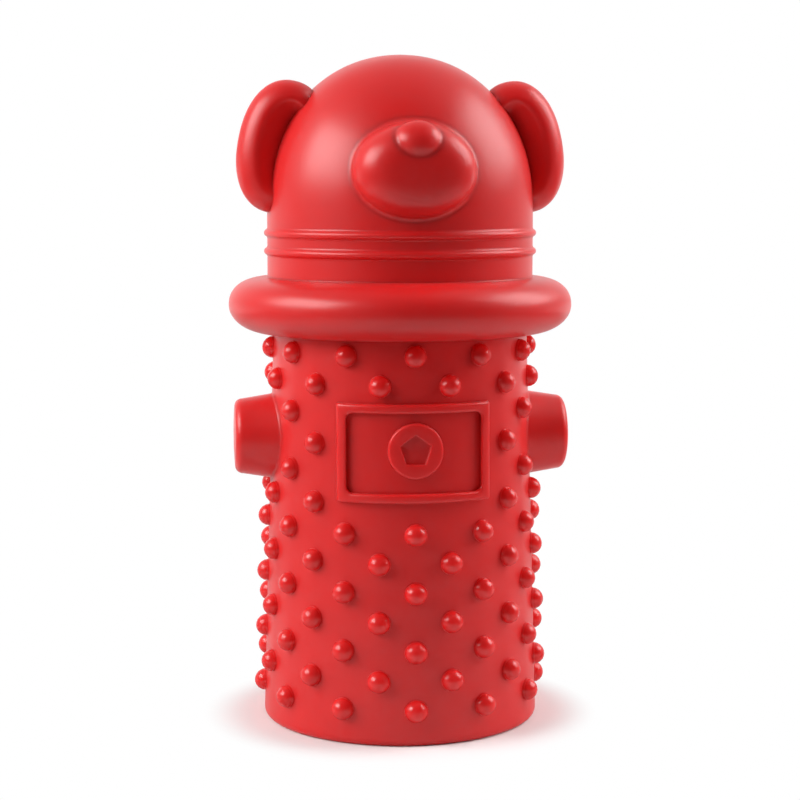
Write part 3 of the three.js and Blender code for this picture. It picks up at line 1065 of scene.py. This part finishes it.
@dataclass(frozen=True)
class Nozzles:
    """Stub outlets on the two sides of the barrel."""

    barrel: Barrel
    rise: float = 64.5
    length: float = 8.5
    root_radius: float = 9.55
    tip_radius: float = 8.5
    edge: float = 1.7
    crown: float = 0.25
    fillet: float = 0.45
    sides: int = 72
    face_steps: int = 4
    edge_steps: int = 8

    @property
    def tip(self) -> float:
        """Distance of the end face from the toy's axis."""
        return self.barrel.radius(self.rise) + self.length

    def point(self, side: Side, turn: float, radius: float, out: float) -> Vector:
        """Point at a turn about the nozzle's axis, a radius from it and a distance along it."""
        return Vector((side.value * out, radius * math.cos(turn), self.rise + radius * math.sin(turn)))

    def line(self, side: Side, turn: float) -> list[Vector]:
        """Draws one line from the middle of the end face to the foot.

        Args:
            side: Side of the barrel.
            turn: Angle of the line about the nozzle's axis.

        Returns:
            Its points, without the middle itself.
        """
        face = self.tip_radius - self.edge
        points = []
        for i in range(1, self.face_steps + 1):
            radius = face * i / self.face_steps
            points.append(self.point(side, turn, radius, self.tip - self.crown * (radius / face) ** 2))
        rim = self.tip - self.crown
        for i in range(1, self.edge_steps + 1):
            lift = QUARTER_TURN * (1 - i / self.edge_steps)
            radius = face + self.edge * math.cos(lift)
            points.append(self.point(side, turn, radius, rim - self.edge * (1 - math.sin(lift))))
        start = rim - self.edge
        root = self.barrel.radius(self.rise)

        def flank(t: float) -> Vector:
            """Tapered wall, from the rounded rim into the barrel."""
            radius = self.tip_radius + (self.root_radius - self.tip_radius) * start * t / (start - root)
            return self.point(side, turn, radius, start * (1 - t))

        outward = Vector((0, math.cos(turn), math.sin(turn)))
        _, foot = Foot(self.barrel.surface(), self.fillet).trace(flank, outward)
        return points + foot

    def build(self, finishes: Finishes) -> None:
        """Makes both nozzles.

        Args:
            finishes: Materials of the toy.
        """
        for side in Side:
            lines = [self.line(side, turn) for turn in turns(self.sides)]
            middle = self.point(side, 0, 0, self.tip)
            core = self.point(side, 0, 0, self.barrel.radius(self.rise) - self.barrel.wall / 2)
            draft = Draft().loft([[middle], *across_lines(lines), [core]])
            name = f"nozzle_{side.name.lower()}"
            finishes.dress(draft.build(f"{name}_moulding"), Slot.RUBBER, name)


@dataclass(frozen=True)
class Badge:
    """Raised frame on the front of the barrel, and a round boss in its window with a five-sided recess."""

    barrel: Barrel
    rise: float = 63.95
    width: float = 33.3
    height: float = 21.3
    border: float = 2.0
    proud: float = 1.35
    edge: float = 0.65
    outer_corner: float = 0.5
    inner_corner: float = 1.5
    buried: float = 0.7
    across_steps: int = 32
    up_steps: int = 16
    corner_steps: int = 6
    rounding_steps: int = 4
    disc_lift: float = 0.6
    disc_radius: float = 6.0
    disc_proud: float = 1.15
    disc_edge: float = 0.5
    nut_radius: float = 3.6
    nut_sink: float = 0.85
    nut_edge: float = 0.25
    nut_sides: int = 5
    nut_softness: float = 0.12
    disc_sides: int = 80

    def outline(self, inset: float) -> list[tuple[float, float]]:
        """Draws a rounded rectangle.

        Args:
            inset: Distance inside the frame's outer edge.

        Returns:
            Its points as X and height about the frame's middle.
        """
        share = min(max(inset / self.border, 0.0), 1.0)
        corner = self.outer_corner + (self.inner_corner - self.outer_corner) * share - min(inset, 0.0)
        half = Vector((self.width / 2 - inset - corner, self.height / 2 - inset - corner))
        centres = [(half.x, half.y), (-half.x, half.y), (-half.x, -half.y), (half.x, -half.y)]
        steps = [self.across_steps, self.up_steps] * 2
        points: list[tuple[float, float]] = []
        for quarter, (x, z) in enumerate(centres):
            for i in range(self.corner_steps + 1):
                angle = QUARTER_TURN * (quarter + i / self.corner_steps)
                points.append((x + corner * math.cos(angle), z + corner * math.sin(angle)))
            last = Vector(points[-1])
            angle = QUARTER_TURN * (quarter + 1)
            next_x, next_z = centres[(quarter + 1) % len(centres)]
            following = Vector((next_x + corner * math.cos(angle), next_z + corner * math.sin(angle)))
            for i in range(1, steps[quarter]):
                point = last.lerp(following, i / steps[quarter])
                points.append((point.x, point.y))
        return points

    def frame_section(self) -> Profile:
        """Draws the frame's cross-section.

        Returns:
            Inset and height of each ring, from the outer foot over the top to the inner foot.
        """
        corners = [
            (0, -self.buried, 0),
            (0, self.proud, self.edge),
            (self.border, self.proud, self.edge),
            (self.border, -self.buried, 0),
        ]
        return soften(corners, self.rounding_steps)

    def build_frame(self, finishes: Finishes) -> None:
        """Makes the frame.

        Args:
            finishes: Materials of the toy.
        """
        rings = []
        for inset, proud in self.frame_section():
            outline = self.outline(inset)
            rings.append([self.barrel.front(x, self.rise + z, proud) for x, z in outline])
        piece = Draft().loft(rings, closed=True).build("badge_frame_moulding")
        finishes.dress(piece, Slot.RUBBER, "badge_frame")

    def nut_share(self, turn: float) -> float:
        """Tells how far out the nut's outline lies.

        Args:
            turn: Angle about the boss's middle.

        Returns:
            Its radius there, as a share of its corners' radius.
        """
        step = FULL_TURN / self.nut_sides
        off = (turn - QUARTER_TURN + step / 2) % step - step / 2
        flat = math.cos(step / 2) / math.cos(step / 2 - abs(off))
        return flat + (math.cos(step / 2) - flat) * self.nut_softness

    def disc_point(self, turn: float, radius: float, proud: float) -> Vector:
        """Point at a turn and a radius about the boss's middle, above the barrel."""
        height = self.rise + self.disc_lift + radius * math.sin(turn)
        return self.barrel.front(radius * math.cos(turn), height, proud)

    def build_disc(self, finishes: Finishes) -> None:
        """Makes the round boss.

        Args:
            finishes: Materials of the toy.
        """
        top = self.disc_proud
        floor = top - self.nut_sink
        nut = soften(
            [
                (0, floor, 0),
                (self.nut_radius, floor, self.nut_edge),
                (self.nut_radius, top, self.nut_edge),
                (self.disc_radius, top, 0),
            ],
            self.rounding_steps,
        )
        rim = soften(
            [
                (self.nut_radius, top, 0),
                (self.disc_radius, top, self.disc_edge),
                (self.disc_radius, -self.buried, 0),
            ],
            self.rounding_steps,
        )
        angles = turns(self.disc_sides)
        rings = [[self.disc_point(0, 0, floor)]]
        for radius, proud in nut[1:-1]:
            rings.append([self.disc_point(a, radius * self.nut_share(a), proud) for a in angles])
        for radius, proud in rim[1:]:
            rings.append([self.disc_point(a, radius, proud) for a in angles])
        rings.append([self.disc_point(0, 0, -self.buried)])
        finishes.dress(Draft().loft(rings).build("badge_disc_moulding"), Slot.RUBBER, "badge_disc")


@dataclass(frozen=True)
class Collar:
    """Half-oval ring over the seam of barrel and head, with a small fillet up to the neck.

    The crown's power makes its upper half a little fuller than an oval, which has 2.
    """

    barrel: Barrel
    middle: float = 94.25
    half_height: float = 6.2
    inner_radius: float = 30.3
    reach: float = 8.5
    crown_power: float = 2.25
    lip: float = 0.2
    lap: float = 0.5
    crest_margin: float = 0.02
    steps: int = 40
    lip_steps: int = 5
    sides: int = 160

    def build(self, finishes: Finishes) -> None:
        """Makes the ring.

        Args:
            finishes: Materials of the toy.
        """
        low = self.middle - self.half_height
        high = self.middle + self.half_height
        neck = self.inner_radius - self.lap / 2
        profile: Profile = [(self.barrel.radius(low) - self.lap, low)]
        for i in range(self.steps):
            angle = math.pi * (i / self.steps - 0.5)
            fullness = 2 / self.crown_power if angle > 0 else 1.0
            out = self.reach * math.cos(angle) ** fullness
            up = math.copysign(self.half_height * abs(math.sin(angle)) ** fullness, angle)
            profile.append((self.inner_radius + out, self.middle + up))
        foot = Vector((self.inner_radius + self.lip, high))
        lip = bend(foot, Vector((neck, high)), Vector((neck, high + self.lip)), self.lip_steps)
        crest = high - self.crest_margin
        profile = [(radius, height) for radius, height in profile if height < crest or radius > foot.x]
        profile += [(point.x, point.y) for point in lip]
        profile += [(neck - self.lap, high), (neck - self.lap, low + self.lap)]
        piece = turned(profile, self.sides, closed=True).build("collar_moulding")
        finishes.dress(piece, Slot.RUBBER, "collar_ring")


# Dog's head


@dataclass(frozen=True)
class Head:
    """Hollow head: spigot, neck with two raised bands, and a blunt dome."""

    seat: float = 94.4
    neck_radius: float = 30.0
    dome_base: float = 116.6
    dome_height: float = 33.4
    dome_power: float = 2.08
    wall: float = 7.0
    spigot_radius: float = 21.3
    spigot_length: float = 14.0
    spigot_wall: float = 5.0
    spigot_edge: float = 0.8
    bands: tuple[float, ...] = (106.3, 110.4)
    band_proud: float = 0.75
    band_half_height: float = 0.8
    band_fillet: float = 0.35
    band_hold: float = 0.25
    band_sweep: int = 75
    band_step: int = 15
    dome_steps: int = 48
    sides: int = 160

    def radius(self, height: float) -> float:
        """Radius of the neck and dome at a height, without bands."""
        share = min(max((height - self.dome_base) / self.dome_height, 0.0), 1.0)
        return self.neck_radius * (1 - share**self.dome_power) ** (1 / self.dome_power)

    def surface(self) -> TurnedSurface:
        """Skin without bands."""
        return TurnedSurface(self.radius)

    def dome(self, inset: float, steps: int) -> Profile:
        """Draws the dome's profile.

        Args:
            inset: Distance by which it is drawn in.
            steps: Segments from its foot to its top.

        Returns:
            Radii and heights, from the foot to the top.
        """
        fullness = 2 / self.dome_power
        profile: Profile = []
        for i in range(steps):
            angle = QUARTER_TURN * i / steps
            radius = (self.neck_radius - inset) * math.cos(angle) ** fullness
            height = self.dome_base + (self.dome_height - inset) * math.sin(angle) ** fullness
            profile.append((radius, height))
        return [*profile, (0.0, self.dome_base + self.dome_height - inset)]

    def band(self, height: float) -> Profile:
        """Draws one raised band: a half-round bead with a soft foot, held by a ring of the wall.

        Args:
            height: Height of its middle.

        Returns:
            Radii and heights, from below to above.
        """
        reach = self.band_half_height + self.band_fillet
        ends = (reach, reach + self.band_hold)
        points: Profile = [(self.neck_radius, height - end) for end in reversed(ends)]
        for degrees in range(-self.band_sweep, self.band_sweep + 1, self.band_step):
            angle = math.radians(degrees)
            radius = self.neck_radius + self.band_proud * math.cos(angle)
            points.append((radius, height + self.band_half_height * math.sin(angle)))
        return points + [(self.neck_radius, height + end) for end in ends]

    def core(self, inset: float) -> Object:
        """Solid head, drawn in by an inset, that cuts what stands on it."""
        foot = [(0.0, self.seat), (self.neck_radius - inset, self.seat)]
        return turned(foot + self.dome(inset, self.dome_steps), self.sides).build("head_core")

    def build(self, finishes: Finishes) -> None:
        """Makes the head.

        Args:
            finishes: Materials of the toy.
        """
        throat = self.spigot_radius - self.spigot_wall
        chamber = self.neck_radius - self.wall
        spigot_end = self.seat - self.spigot_length
        inside = list(reversed(self.dome(self.wall, self.dome_steps // 2)))
        shoulder = soften(
            [
                (chamber, self.seat + self.wall, 0),
                (throat, self.seat, 0),
                (throat, spigot_end, 0),
                (self.spigot_radius, spigot_end, self.spigot_edge),
                (self.spigot_radius, self.seat, 0),
                (self.neck_radius, self.seat, 0),
            ]
        )
        outside = [point for height in self.bands for point in self.band(height)]
        profile = inside + shoulder + outside + self.dome(0.0, self.dome_steps)
        finishes.dress(turned(profile, self.sides).build("head_moulding"), Slot.RUBBER, "head")


@dataclass(frozen=True)
class Ears:
    """Fat oval ears on the sides of the dome, leaning in at the top."""

    head: Head
    height: float = 30.6
    width: float = 20.4
    outline_power: float = 2.2
    front: float = 5.3
    back: float = 6.0
    back_inset: float = 3.0
    shoulder: float = 4.2
    shoulder_inset: float = 1.9
    crest_inset: float = 4.8
    dish: float = 3.6
    dish_inset: float = 8.6
    dish_shift: float = 2.5
    rounding: float = 2.0
    forward: float = 2.5
    sink: float = 3.2
    rise: float = 12.9
    lean: float = 11.5
    overlap: float = 0.4
    rounding_steps: int = 8
    sides: int = 112

    def ring(self, inset: float, depth: float) -> list[Vector]:
        """Draws an oval of an ear that faces +Z.

        Args:
            inset: Distance inside the ear's outline.
            depth: Place along Z.

        Returns:
            The points of the oval.
        """
        half = Vector((self.width / 2 - inset, self.height / 2 - inset))
        points = []
        for turn in turns(self.sides):
            across, up = math.cos(turn), math.sin(turn)
            level = abs(across) ** self.outline_power + abs(up) ** self.outline_power
            share = level ** (-1 / self.outline_power)
            points.append(Vector((half.x * across * share, half.y * up * share, depth)))
        return points

    def draft(self, side: Side) -> Draft:
        """Ear that faces +Z: a rounded back, a tapered flank and a soft rim round a shallow dish.

        Args:
            side: Side of the head. The dish is deepest towards the dome.

        Returns:
            The draft, before the dome cuts it.
        """
        floor = self.front - self.dish
        shift = -side.value * self.dish_shift
        section = soften(
            [
                (self.dish_inset, -self.back, 0),
                (self.back_inset, -self.back, self.rounding),
                (0, 0, self.rounding),
                (self.shoulder_inset, self.shoulder, self.rounding),
                (self.crest_inset, self.front, self.rounding / 2),
                (self.dish_inset, floor, 0),
            ],
            self.rounding_steps,
        )
        crest = max(range(len(section)), key=lambda i: section[i][1])
        rings = []
        for i, (inset, depth) in enumerate(section):
            share = (inset - section[crest][0]) / (self.dish_inset - section[crest][0])
            move = Vector((shift * share if i > crest else 0.0, 0, 0))
            rings.append([point + move for point in self.ring(inset, depth)])
        ends = [[Vector((0, 0, -self.back))], [Vector((shift, 0, floor))]]
        return Draft().loft([ends[0], *rings, ends[1]])

    def place(self, side: Side) -> Matrix:
        """Turns an ear to the front, leans it in and moves it to its side.

        Args:
            side: Side of the head.

        Returns:
            The move, in metres.
        """
        across = side.value * (self.head.neck_radius - self.sink) * MM
        up = (self.head.dome_base + self.rise) * MM
        where = Matrix.Translation((across, -self.forward * MM, up))
        lean = Matrix.Rotation(-side.value * math.radians(self.lean), 4, "Y")
        face = Matrix.Rotation(QUARTER_TURN, 4, "X")
        return where @ lean @ face

    def build(self, finishes: Finishes) -> None:
        """Makes both ears and cuts them to the dome.

        Args:
            finishes: Materials of the toy.
        """
        core = self.head.core(self.overlap)
        for side in Side:
            name = f"ear_{side.name.lower()}"
            whole = self.draft(side).build(f"{name}_whole")
            whole.data.transform(self.place(side))
            cut = whole.modifiers.new("seat", "BOOLEAN")
            cut.operation = "DIFFERENCE"
            cut.solver = "EXACT"
            cut.object = core
            mesh = bake_modifiers(whole, f"{name}_moulding")
            tidy_mesh(mesh)
            finishes.dress(to_object(f"{name}_moulding", mesh), Slot.RUBBER, name)
        bpy.data.objects.remove(core)


@dataclass(frozen=True)
class Face:
    """Egg-shaped snout on the front of the dome, and an oval nose on the snout."""

    head: Head
    width: float = 26.2
    height: float = 20.4
    depth: float = 22.0
    power: float = 3.1
    rise: float = 7.6
    sink: float = 4.5
    sweep: float = 100.0
    fillet: float = 1.2
    core_depth: float = 1.75
    nose_width: float = 9.8
    nose_height: float = 8.6
    nose_depth: float = 6.6
    nose_power: float = 2.0
    nose_slope: float = 40.0
    nose_sink: float = 0.3
    nose_sweep: float = 150.0
    nose_fillet: float = 0.6
    nose_foot_sink: float = 0.3
    nose_core_share: float = 0.7
    sides: int = 96
    flank_steps: int = 18

    @property
    def egg(self) -> EggSurface:
        """Skin of the snout."""
        centre = Vector((0, self.sink - self.head.neck_radius, self.head.dome_base + self.rise))
        return EggSurface(centre, Vector((self.width, self.depth, self.height)) / 2, self.power)

    def boss(
        self,
        centre: Vector,
        axes: Sequence[Vector],
        power: float,
        sweep: float,
        foot: Foot,
        core: Vector,
    ) -> Draft:
        """Lofts half an egg that ends in a filleted foot.

        Args:
            centre: Middle of the egg.
            axes: Half axes across, up and out.
            power: How blunt its end is.
            sweep: Angle from the tip at which a flank is inside its carrier, in degrees.
            foot: Fillet round the egg.
            core: Point inside the carrier that closes the back.

        Returns:
            The draft.
        """
        across, up, out = axes
        lines = []
        for turn in turns(self.sides):
            spread = across * math.cos(turn) + up * math.sin(turn)

            def flank(t: float, spread: Vector = spread) -> Vector:
                """Follows the egg's skin from its tip past its waist.

                Args:
                    t: Share of the sweep, with 0 at the tip.
                    spread: Half axis of the egg on this side.

                Returns:
                    The point.
                """
                angle = math.radians(sweep) * t
                side, ahead = math.sin(angle), math.cos(angle)
                level = (abs(side) ** power + abs(ahead) ** power) ** (1 / power)
                return centre + (spread * side + out * ahead) / level

            end, fillet = foot.trace(flank, spread.normalized())
            shares = [end * k / self.flank_steps for k in range(1, self.flank_steps)]
            lines.append([flank(t) for t in shares] + fillet)
        return Draft().loft([[centre + out], *across_lines(lines), [core]])

    def build(self, finishes: Finishes) -> None:
        """Makes the snout and the nose.

        Args:
            finishes: Materials of the toy.
        """
        egg = self.egg
        half = egg.half
        snout = self.boss(
            egg.centre,
            (Vector((half.x, 0, 0)), Vector((0, 0, half.z)), Vector((0, -half.y, 0))),
            self.power,
            self.sweep,
            Foot(self.head.surface(), self.fillet),
            egg.centre + Vector((0, self.core_depth, 0)),
        )
        finishes.dress(snout.build("snout_moulding"), Slot.RUBBER, "snout")
        slope = math.radians(self.nose_slope)
        seat_out = (half.y - self.nose_sink) * math.cos(slope)
        seat_up = (half.z - self.nose_sink) * math.sin(slope)
        seat = Vector((0, -seat_out, seat_up))
        nose = self.boss(
            egg.centre + seat,
            (
                Vector((self.nose_width / 2, 0, 0)),
                Vector((0, math.sin(slope), math.cos(slope))) * (self.nose_height / 2),
                Vector((0, -math.cos(slope), math.sin(slope))) * (self.nose_depth / 2),
            ),
            self.nose_power,
            self.nose_sweep,
            Foot(egg, self.nose_fillet, sink=self.nose_foot_sink),
            egg.centre + seat * self.nose_core_share,
        )
        finishes.dress(nose.build("nose_moulding"), Slot.RUBBER, "nose")


# Base plug and squeaker


@dataclass(frozen=True)
class Squeaker:
    """Rubber bung in the base, and the plastic squeaker that it holds."""

    barrel: Barrel
    gap: float = 0.3
    neck_radius: float = 14.0
    flange_radius: float = 17.0
    flange: float = 2.4
    bead: float = 1.2
    bead_height: float = 2.4
    cup_bore: float = 4.0
    cup_wall: float = 1.0
    cup_start: float = 1.5
    cup_length: float = 16.5
    cup_flange_reach: float = 4.0
    cup_flange: float = 1.2
    cup_lip: float = 1.0
    air_hole: float = 2.4
    edge: float = 0.5
    cup_edge: float = 0.25
    cup_edge_steps: int = 3
    sides: int = 96

    def build_plug(self, finishes: Finishes) -> None:
        """Makes the bung.

        Args:
            finishes: Materials of the toy.
        """
        bore = self.cup_bore + self.cup_wall + self.gap
        floor = self.barrel.floor + self.gap
        top = floor + self.bead_height
        corners = [
            (bore, self.gap, self.edge),
            (self.flange_radius, self.gap, self.edge),
            (self.flange_radius, self.gap + self.flange, 0),
            (self.neck_radius, self.gap + self.flange, 0),
            (self.neck_radius, floor, 0),
            (self.neck_radius + self.bead, floor, self.edge),
            (self.neck_radius + self.bead, top - self.bead, 0),
            (self.neck_radius, top, 0),
            (bore, top, 0),
        ]
        piece = turned(soften(corners), self.sides, closed=True).build("base_plug_moulding")
        finishes.dress(piece, Slot.RUBBER, "base_plug")

    def build_cup(self, finishes: Finishes) -> None:
        """Makes the squeaker's tube.

        Args:
            finishes: Materials of the toy.
        """
        radius = self.cup_bore + self.cup_wall
        flange_low = self.barrel.floor + 2 * self.gap + self.bead_height
        flange_high = flange_low + self.cup_flange
        top = self.cup_start + self.cup_length
        edge = self.cup_edge
        corners = [
            (self.air_hole, self.cup_start, edge),
            (radius, self.cup_start, edge),
            (radius, flange_low, 0),
            (radius + self.cup_flange_reach, flange_low, edge),
            (radius + self.cup_flange_reach, flange_high, edge),
            (radius, flange_high, 0),
            (radius, top, edge),
            (self.cup_bore, top, edge),
            (self.cup_bore, self.cup_start + self.cup_lip, 0),
            (self.air_hole, self.cup_start + self.cup_lip, edge),
        ]
        profile = soften(corners, self.cup_edge_steps)
        piece = turned(profile, self.sides, closed=True).build("squeaker_tube")
        finishes.dress(piece, Slot.PLASTIC, "squeaker_cup")

    def build(self, finishes: Finishes) -> None:
        """Makes the bung and the tube, and finishes the reed and its holders, which stay the CAD's own.

        Args:
            finishes: Materials of the toy.
        """
        self.build_plug(finishes)
        self.build_cup(finishes)
        for node in ("reed_channel", "reed_clamp"):
            finishes.paint(frame["nodes"][node], Slot.PLASTIC)
        finishes.paint(frame["nodes"]["reed"], Slot.FILM)


# Studio


@dataclass(frozen=True)
class Stand:
    """Place round the toy, in degrees and metres. Azimuth 0 is in front of it and 90 on its +X side."""

    azimuth: float
    elevation: float
    distance: float

    def hold(self, name: str, data: bpy.types.ID, target: Vector) -> Object:
        """Puts a lamp or the camera there.

        Args:
            name: Name of the object.
            data: Lamp or camera.
            target: Point that it looks at.

        Returns:
            The object.
        """
        a, e = math.radians(self.azimuth), math.radians(self.elevation)
        back = Vector((math.sin(a) * math.cos(e), -math.cos(a) * math.cos(e), math.sin(e)))
        made = to_object(name, data)
        made.location = target + back * self.distance
        made.rotation_mode = "QUATERNION"
        made.rotation_quaternion = back.to_track_quat("Z", "Y")
        return made


@dataclass(frozen=True)
class Softbox:
    """Large soft lamp, in metres and watts, that looks at the toy. A fill light isn't seen in its gloss."""

    name: str
    stand: Stand
    width: float
    height: float
    power: float
    in_gloss: bool = True

    def build(self, target: Vector) -> None:
        """Hangs the lamp.

        Args:
            target: Point that it looks at.
        """
        lamp = bpy.data.lights.new(self.name, "AREA")
        lamp.shape = "RECTANGLE"
        lamp.size = self.width
        lamp.size_y = self.height
        lamp.energy = self.power
        self.stand.hold(self.name, lamp, target).visible_glossy = self.in_gloss


@dataclass(frozen=True)
class Studio:
    """White tent with a shaded front, two softboxes, three fill lights, a pale floor and the camera.

    Sizes are in metres here, and the lens and the sensor in millimetres.
    """

    aim_height: float = 0.0722
    camera: Stand = Stand(-6.5, 6.5, 0.437)
    lens: float = 86.0
    sensor: float = 36.0
    nearest: float = 0.01
    tent_range: tuple[float, float] = (-0.6, 0.6)
    tent_glow: tuple[float, float] = (0.03, 0.42)
    tent_back: tuple[float, float] = (0.6, 1.0)
    floor_size: float = 6.0
    floor_colour: str = "#fafafa"
    floor_back: tuple[float, float] = (0.15, 0.5)
    # Tint of the paper as the toy sees it, paler near the toy than away from it: a painted pool of bounce
    # light
    near_bounce: str = "#d4d4d4"
    far_bounce: str = "#606060"
    bounce_fade: tuple[float, float] = (0.12, 0.36)
    shadow_fade: tuple[float, float] = (0.034, 0.046)
    lamps: tuple[Softbox, ...] = (
        Softbox("left_softbox", Stand(-76, 31, 0.7), 0.54, 0.36, 4.0),
        Softbox("right_softbox", Stand(96, 34, 0.7), 0.48, 0.44, 2.9),
        Softbox("left_fill", Stand(-86, 8, 0.9), 0.6, 0.5, 1.8, in_gloss=False),
        Softbox("right_fill", Stand(78, 6, 0.9), 0.6, 0.5, 3.6, in_gloss=False),
        Softbox("top_fill", Stand(0, 75, 0.9), 0.6, 0.5, 1.0, in_gloss=False),
    )

    @property
    def aim(self) -> Vector:
        """Point that the camera and the lamps look at."""
        return Vector((0, 0, self.aim_height))

    def build_camera(self) -> None:
        """Sets the camera up at the photograph's angle."""
        data = bpy.data.cameras.new("camera")
        data.lens = self.lens
        data.sensor_width = self.sensor
        data.clip_start = self.nearest
        bpy.context.scene.camera = self.camera.hold("camera", data, self.aim)

    def shown(self, tree: Tree, behind: Node) -> Node:
        """Works out which rays see the white background.

        Args:
            tree: Tree of the world or of the floor.
            behind: One well behind the toy and nought in front of it.

        Returns:
            One for the camera and for clear pieces, and for gloss that looks behind the toy.
        """
        rays = add_node(tree, "ShaderNodeLightPath").outputs
        direct = add_node(
            tree,
            "ShaderNodeMath",
            {0: rays["Is Camera Ray"], 1: rays["Is Transmission Ray"]},
            operation="MAXIMUM",
        )
        return add_node(
            tree,
            "ShaderNodeMath",
            {0: rays["Is Glossy Ray"], 1: behind, 2: direct},
            operation="MULTIPLY_ADD",
            use_clamp=True,
        )

    def build_world(self) -> None:
        """Surrounds the toy with a white tent that is shaded in front, white to the camera itself."""
        world = bpy.data.worlds.new("tent")
        bpy.context.scene.world = world
        world.use_nodes = True
        tree = world.node_tree
        tree.nodes.clear()
        towards = add_node(tree, "ShaderNodeTexCoord").outputs["Generated"]
        depth = add_node(tree, "ShaderNodeSeparateXYZ", {0: towards}).outputs["Y"]
        glow, behind = (
            add_node(
                tree,
                "ShaderNodeMapRange",
                {"Value": depth, "From Min": low, "From Max": high, "To Min": least, "To Max": most},
                interpolation_type="SMOOTHSTEP",
            )
            for (low, high), (least, most) in (
                (self.tent_range, self.tent_glow),
                (self.tent_back, (0.0, 1.0)),
            )
        )
        light = add_node(tree, "ShaderNodeBackground", {"Color": WHITE, "Strength": glow})
        white = add_node(tree, "ShaderNodeBackground", {"Color": WHITE})
        seen = self.shown(tree, behind)
        mixed = add_node(tree, "ShaderNodeMixShader", {0: seen, 1: light, 2: white})
        add_node(tree, "ShaderNodeOutputWorld", {"Surface": mixed})

    def floor_material(self) -> Material:
        """Pale paper that keeps the toy's shadow and fades to white away from it.

        Returns:
            The material, clear from below.
        """
        made, tree = new_material("pale_paper_floor")
        place = add_node(tree, "ShaderNodeTexCoord").outputs["Object"]
        away = add_node(tree, "ShaderNodeVectorMath", {0: place}, operation="LENGTH").outputs["Value"]
        depth = add_node(tree, "ShaderNodeSeparateXYZ", {0: place}).outputs["Y"]
        fade, dim, behind = (
            add_node(
                tree,
                "ShaderNodeMapRange",
                {"Value": value, "From Min": start, "From Max": end},
                interpolation_type="SMOOTHSTEP",
            )
            for value, (start, end) in (
                (away, self.shadow_fade),
                (away, self.bounce_fade),
                (depth, self.floor_back),
            )
        )
        seen = self.shown(tree, behind)
        share = add_node(tree, "ShaderNodeMath", {0: fade, 1: seen}, operation="MULTIPLY")
        # The toy sees the paper paler near it and darker away from it, which is a painted pool of bounce
        # light; the camera sees the plain pale colour
        tint: Socket | tuple[float, ...] = to_linear(self.near_bounce)
        for cover, over in ((dim, self.far_bounce), (seen, self.floor_colour)):
            tint = add_node(
                tree,
                "ShaderNodeMix",
                {MIX_SHARE: cover, MIX_FIRST: tint, MIX_SECOND: to_linear(over)},
                data_type="RGBA",
            ).outputs[MIX_RESULT]
        paper = add_node(tree, "ShaderNodeBsdfDiffuse", {"Color": tint})
        white = add_node(tree, "ShaderNodeEmission", {"Color": WHITE})
        lit = add_node(tree, "ShaderNodeMixShader", {0: share, 1: paper, 2: white})
        under = add_node(tree, "ShaderNodeNewGeometry").outputs["Backfacing"]
        clear = add_node(tree, "ShaderNodeBsdfTransparent")
        sided = add_node(tree, "ShaderNodeMixShader", {0: under, 1: lit, 2: clear})
        add_node(tree, "ShaderNodeOutputMaterial", {"Surface": sided})
        return made

    def build_floor(self) -> None:
        """Lays the floor under the toy."""
        half = self.floor_size / 2
        mesh = bpy.data.meshes.new("floor")
        corners = [(-half, -half, 0), (half, -half, 0), (half, half, 0), (-half, half, 0)]
        mesh.from_pydata(corners, [], [(0, 1, 2, 3)])
        mesh.materials.append(self.floor_material())
        to_object("floor", mesh)

    def build(self) -> None:
        """Sets up everything round the toy."""
        bpy.context.scene.view_settings.view_transform = "Standard"
        self.build_camera()
        self.build_world()
        self.build_floor()
        for lamp in self.lamps:
            lamp.build(self.aim)


# Assembly


def nub_rule(barrel: Barrel, badge: Badge, nozzles: Nozzles) -> Callable[[float, float], bool]:
    """Rule for where a nub may stand.

    Args:
        barrel: Barrel that carries the nubs.
        badge: Frame that they keep clear of.
        nozzles: Outlets that they keep clear of.

    Returns:
        A function of the angle from the front and the height.
    """
    room = barrel.nub_radius + barrel.nub_clearance

    def is_clear(turn: float, height: float) -> bool:
        """Tells whether a nub stays clear of the frame and the nozzles.

        Args:
            turn: Angle of the nub from the front.
            height: Height of the nub.

        Returns:
            Whether it may stand there.
        """
        radius = barrel.radius(height)
        rise = height - badge.rise
        beside = abs(radius * math.sin(turn)) > badge.width / 2 + room * math.cos(turn)
        past = abs(rise) > badge.height / 2 + room
        to_nozzle = radius * abs(abs(turn) - QUARTER_TURN)
        off_nozzle = math.hypot(to_nozzle, height - nozzles.rise) > nozzles.root_radius + room
        return off_nozzle and (math.cos(turn) <= 0 or beside or past)

    return is_clear


def main() -> None:
    """Builds the toy's sub-assemblies in order, and the studio round them."""
    logging.basicConfig(level=logging.INFO, format="%(name)s: %(message)s")
    Studio().build()
    finishes = Finishes.make()
    barrel = Barrel()
    nozzles = Nozzles(barrel)
    badge = Badge(barrel)
    head = Head()
    barrel.build(finishes, nub_rule(barrel, badge, nozzles))
    nozzles.build(finishes)
    badge.build_frame(finishes)
    badge.build_disc(finishes)
    Collar(barrel).build(finishes)
    head.build(finishes)
    Ears(head).build(finishes)
    Face(head).build(finishes)
    Squeaker(barrel).build(finishes)


if __name__ == "__main__":
    main()
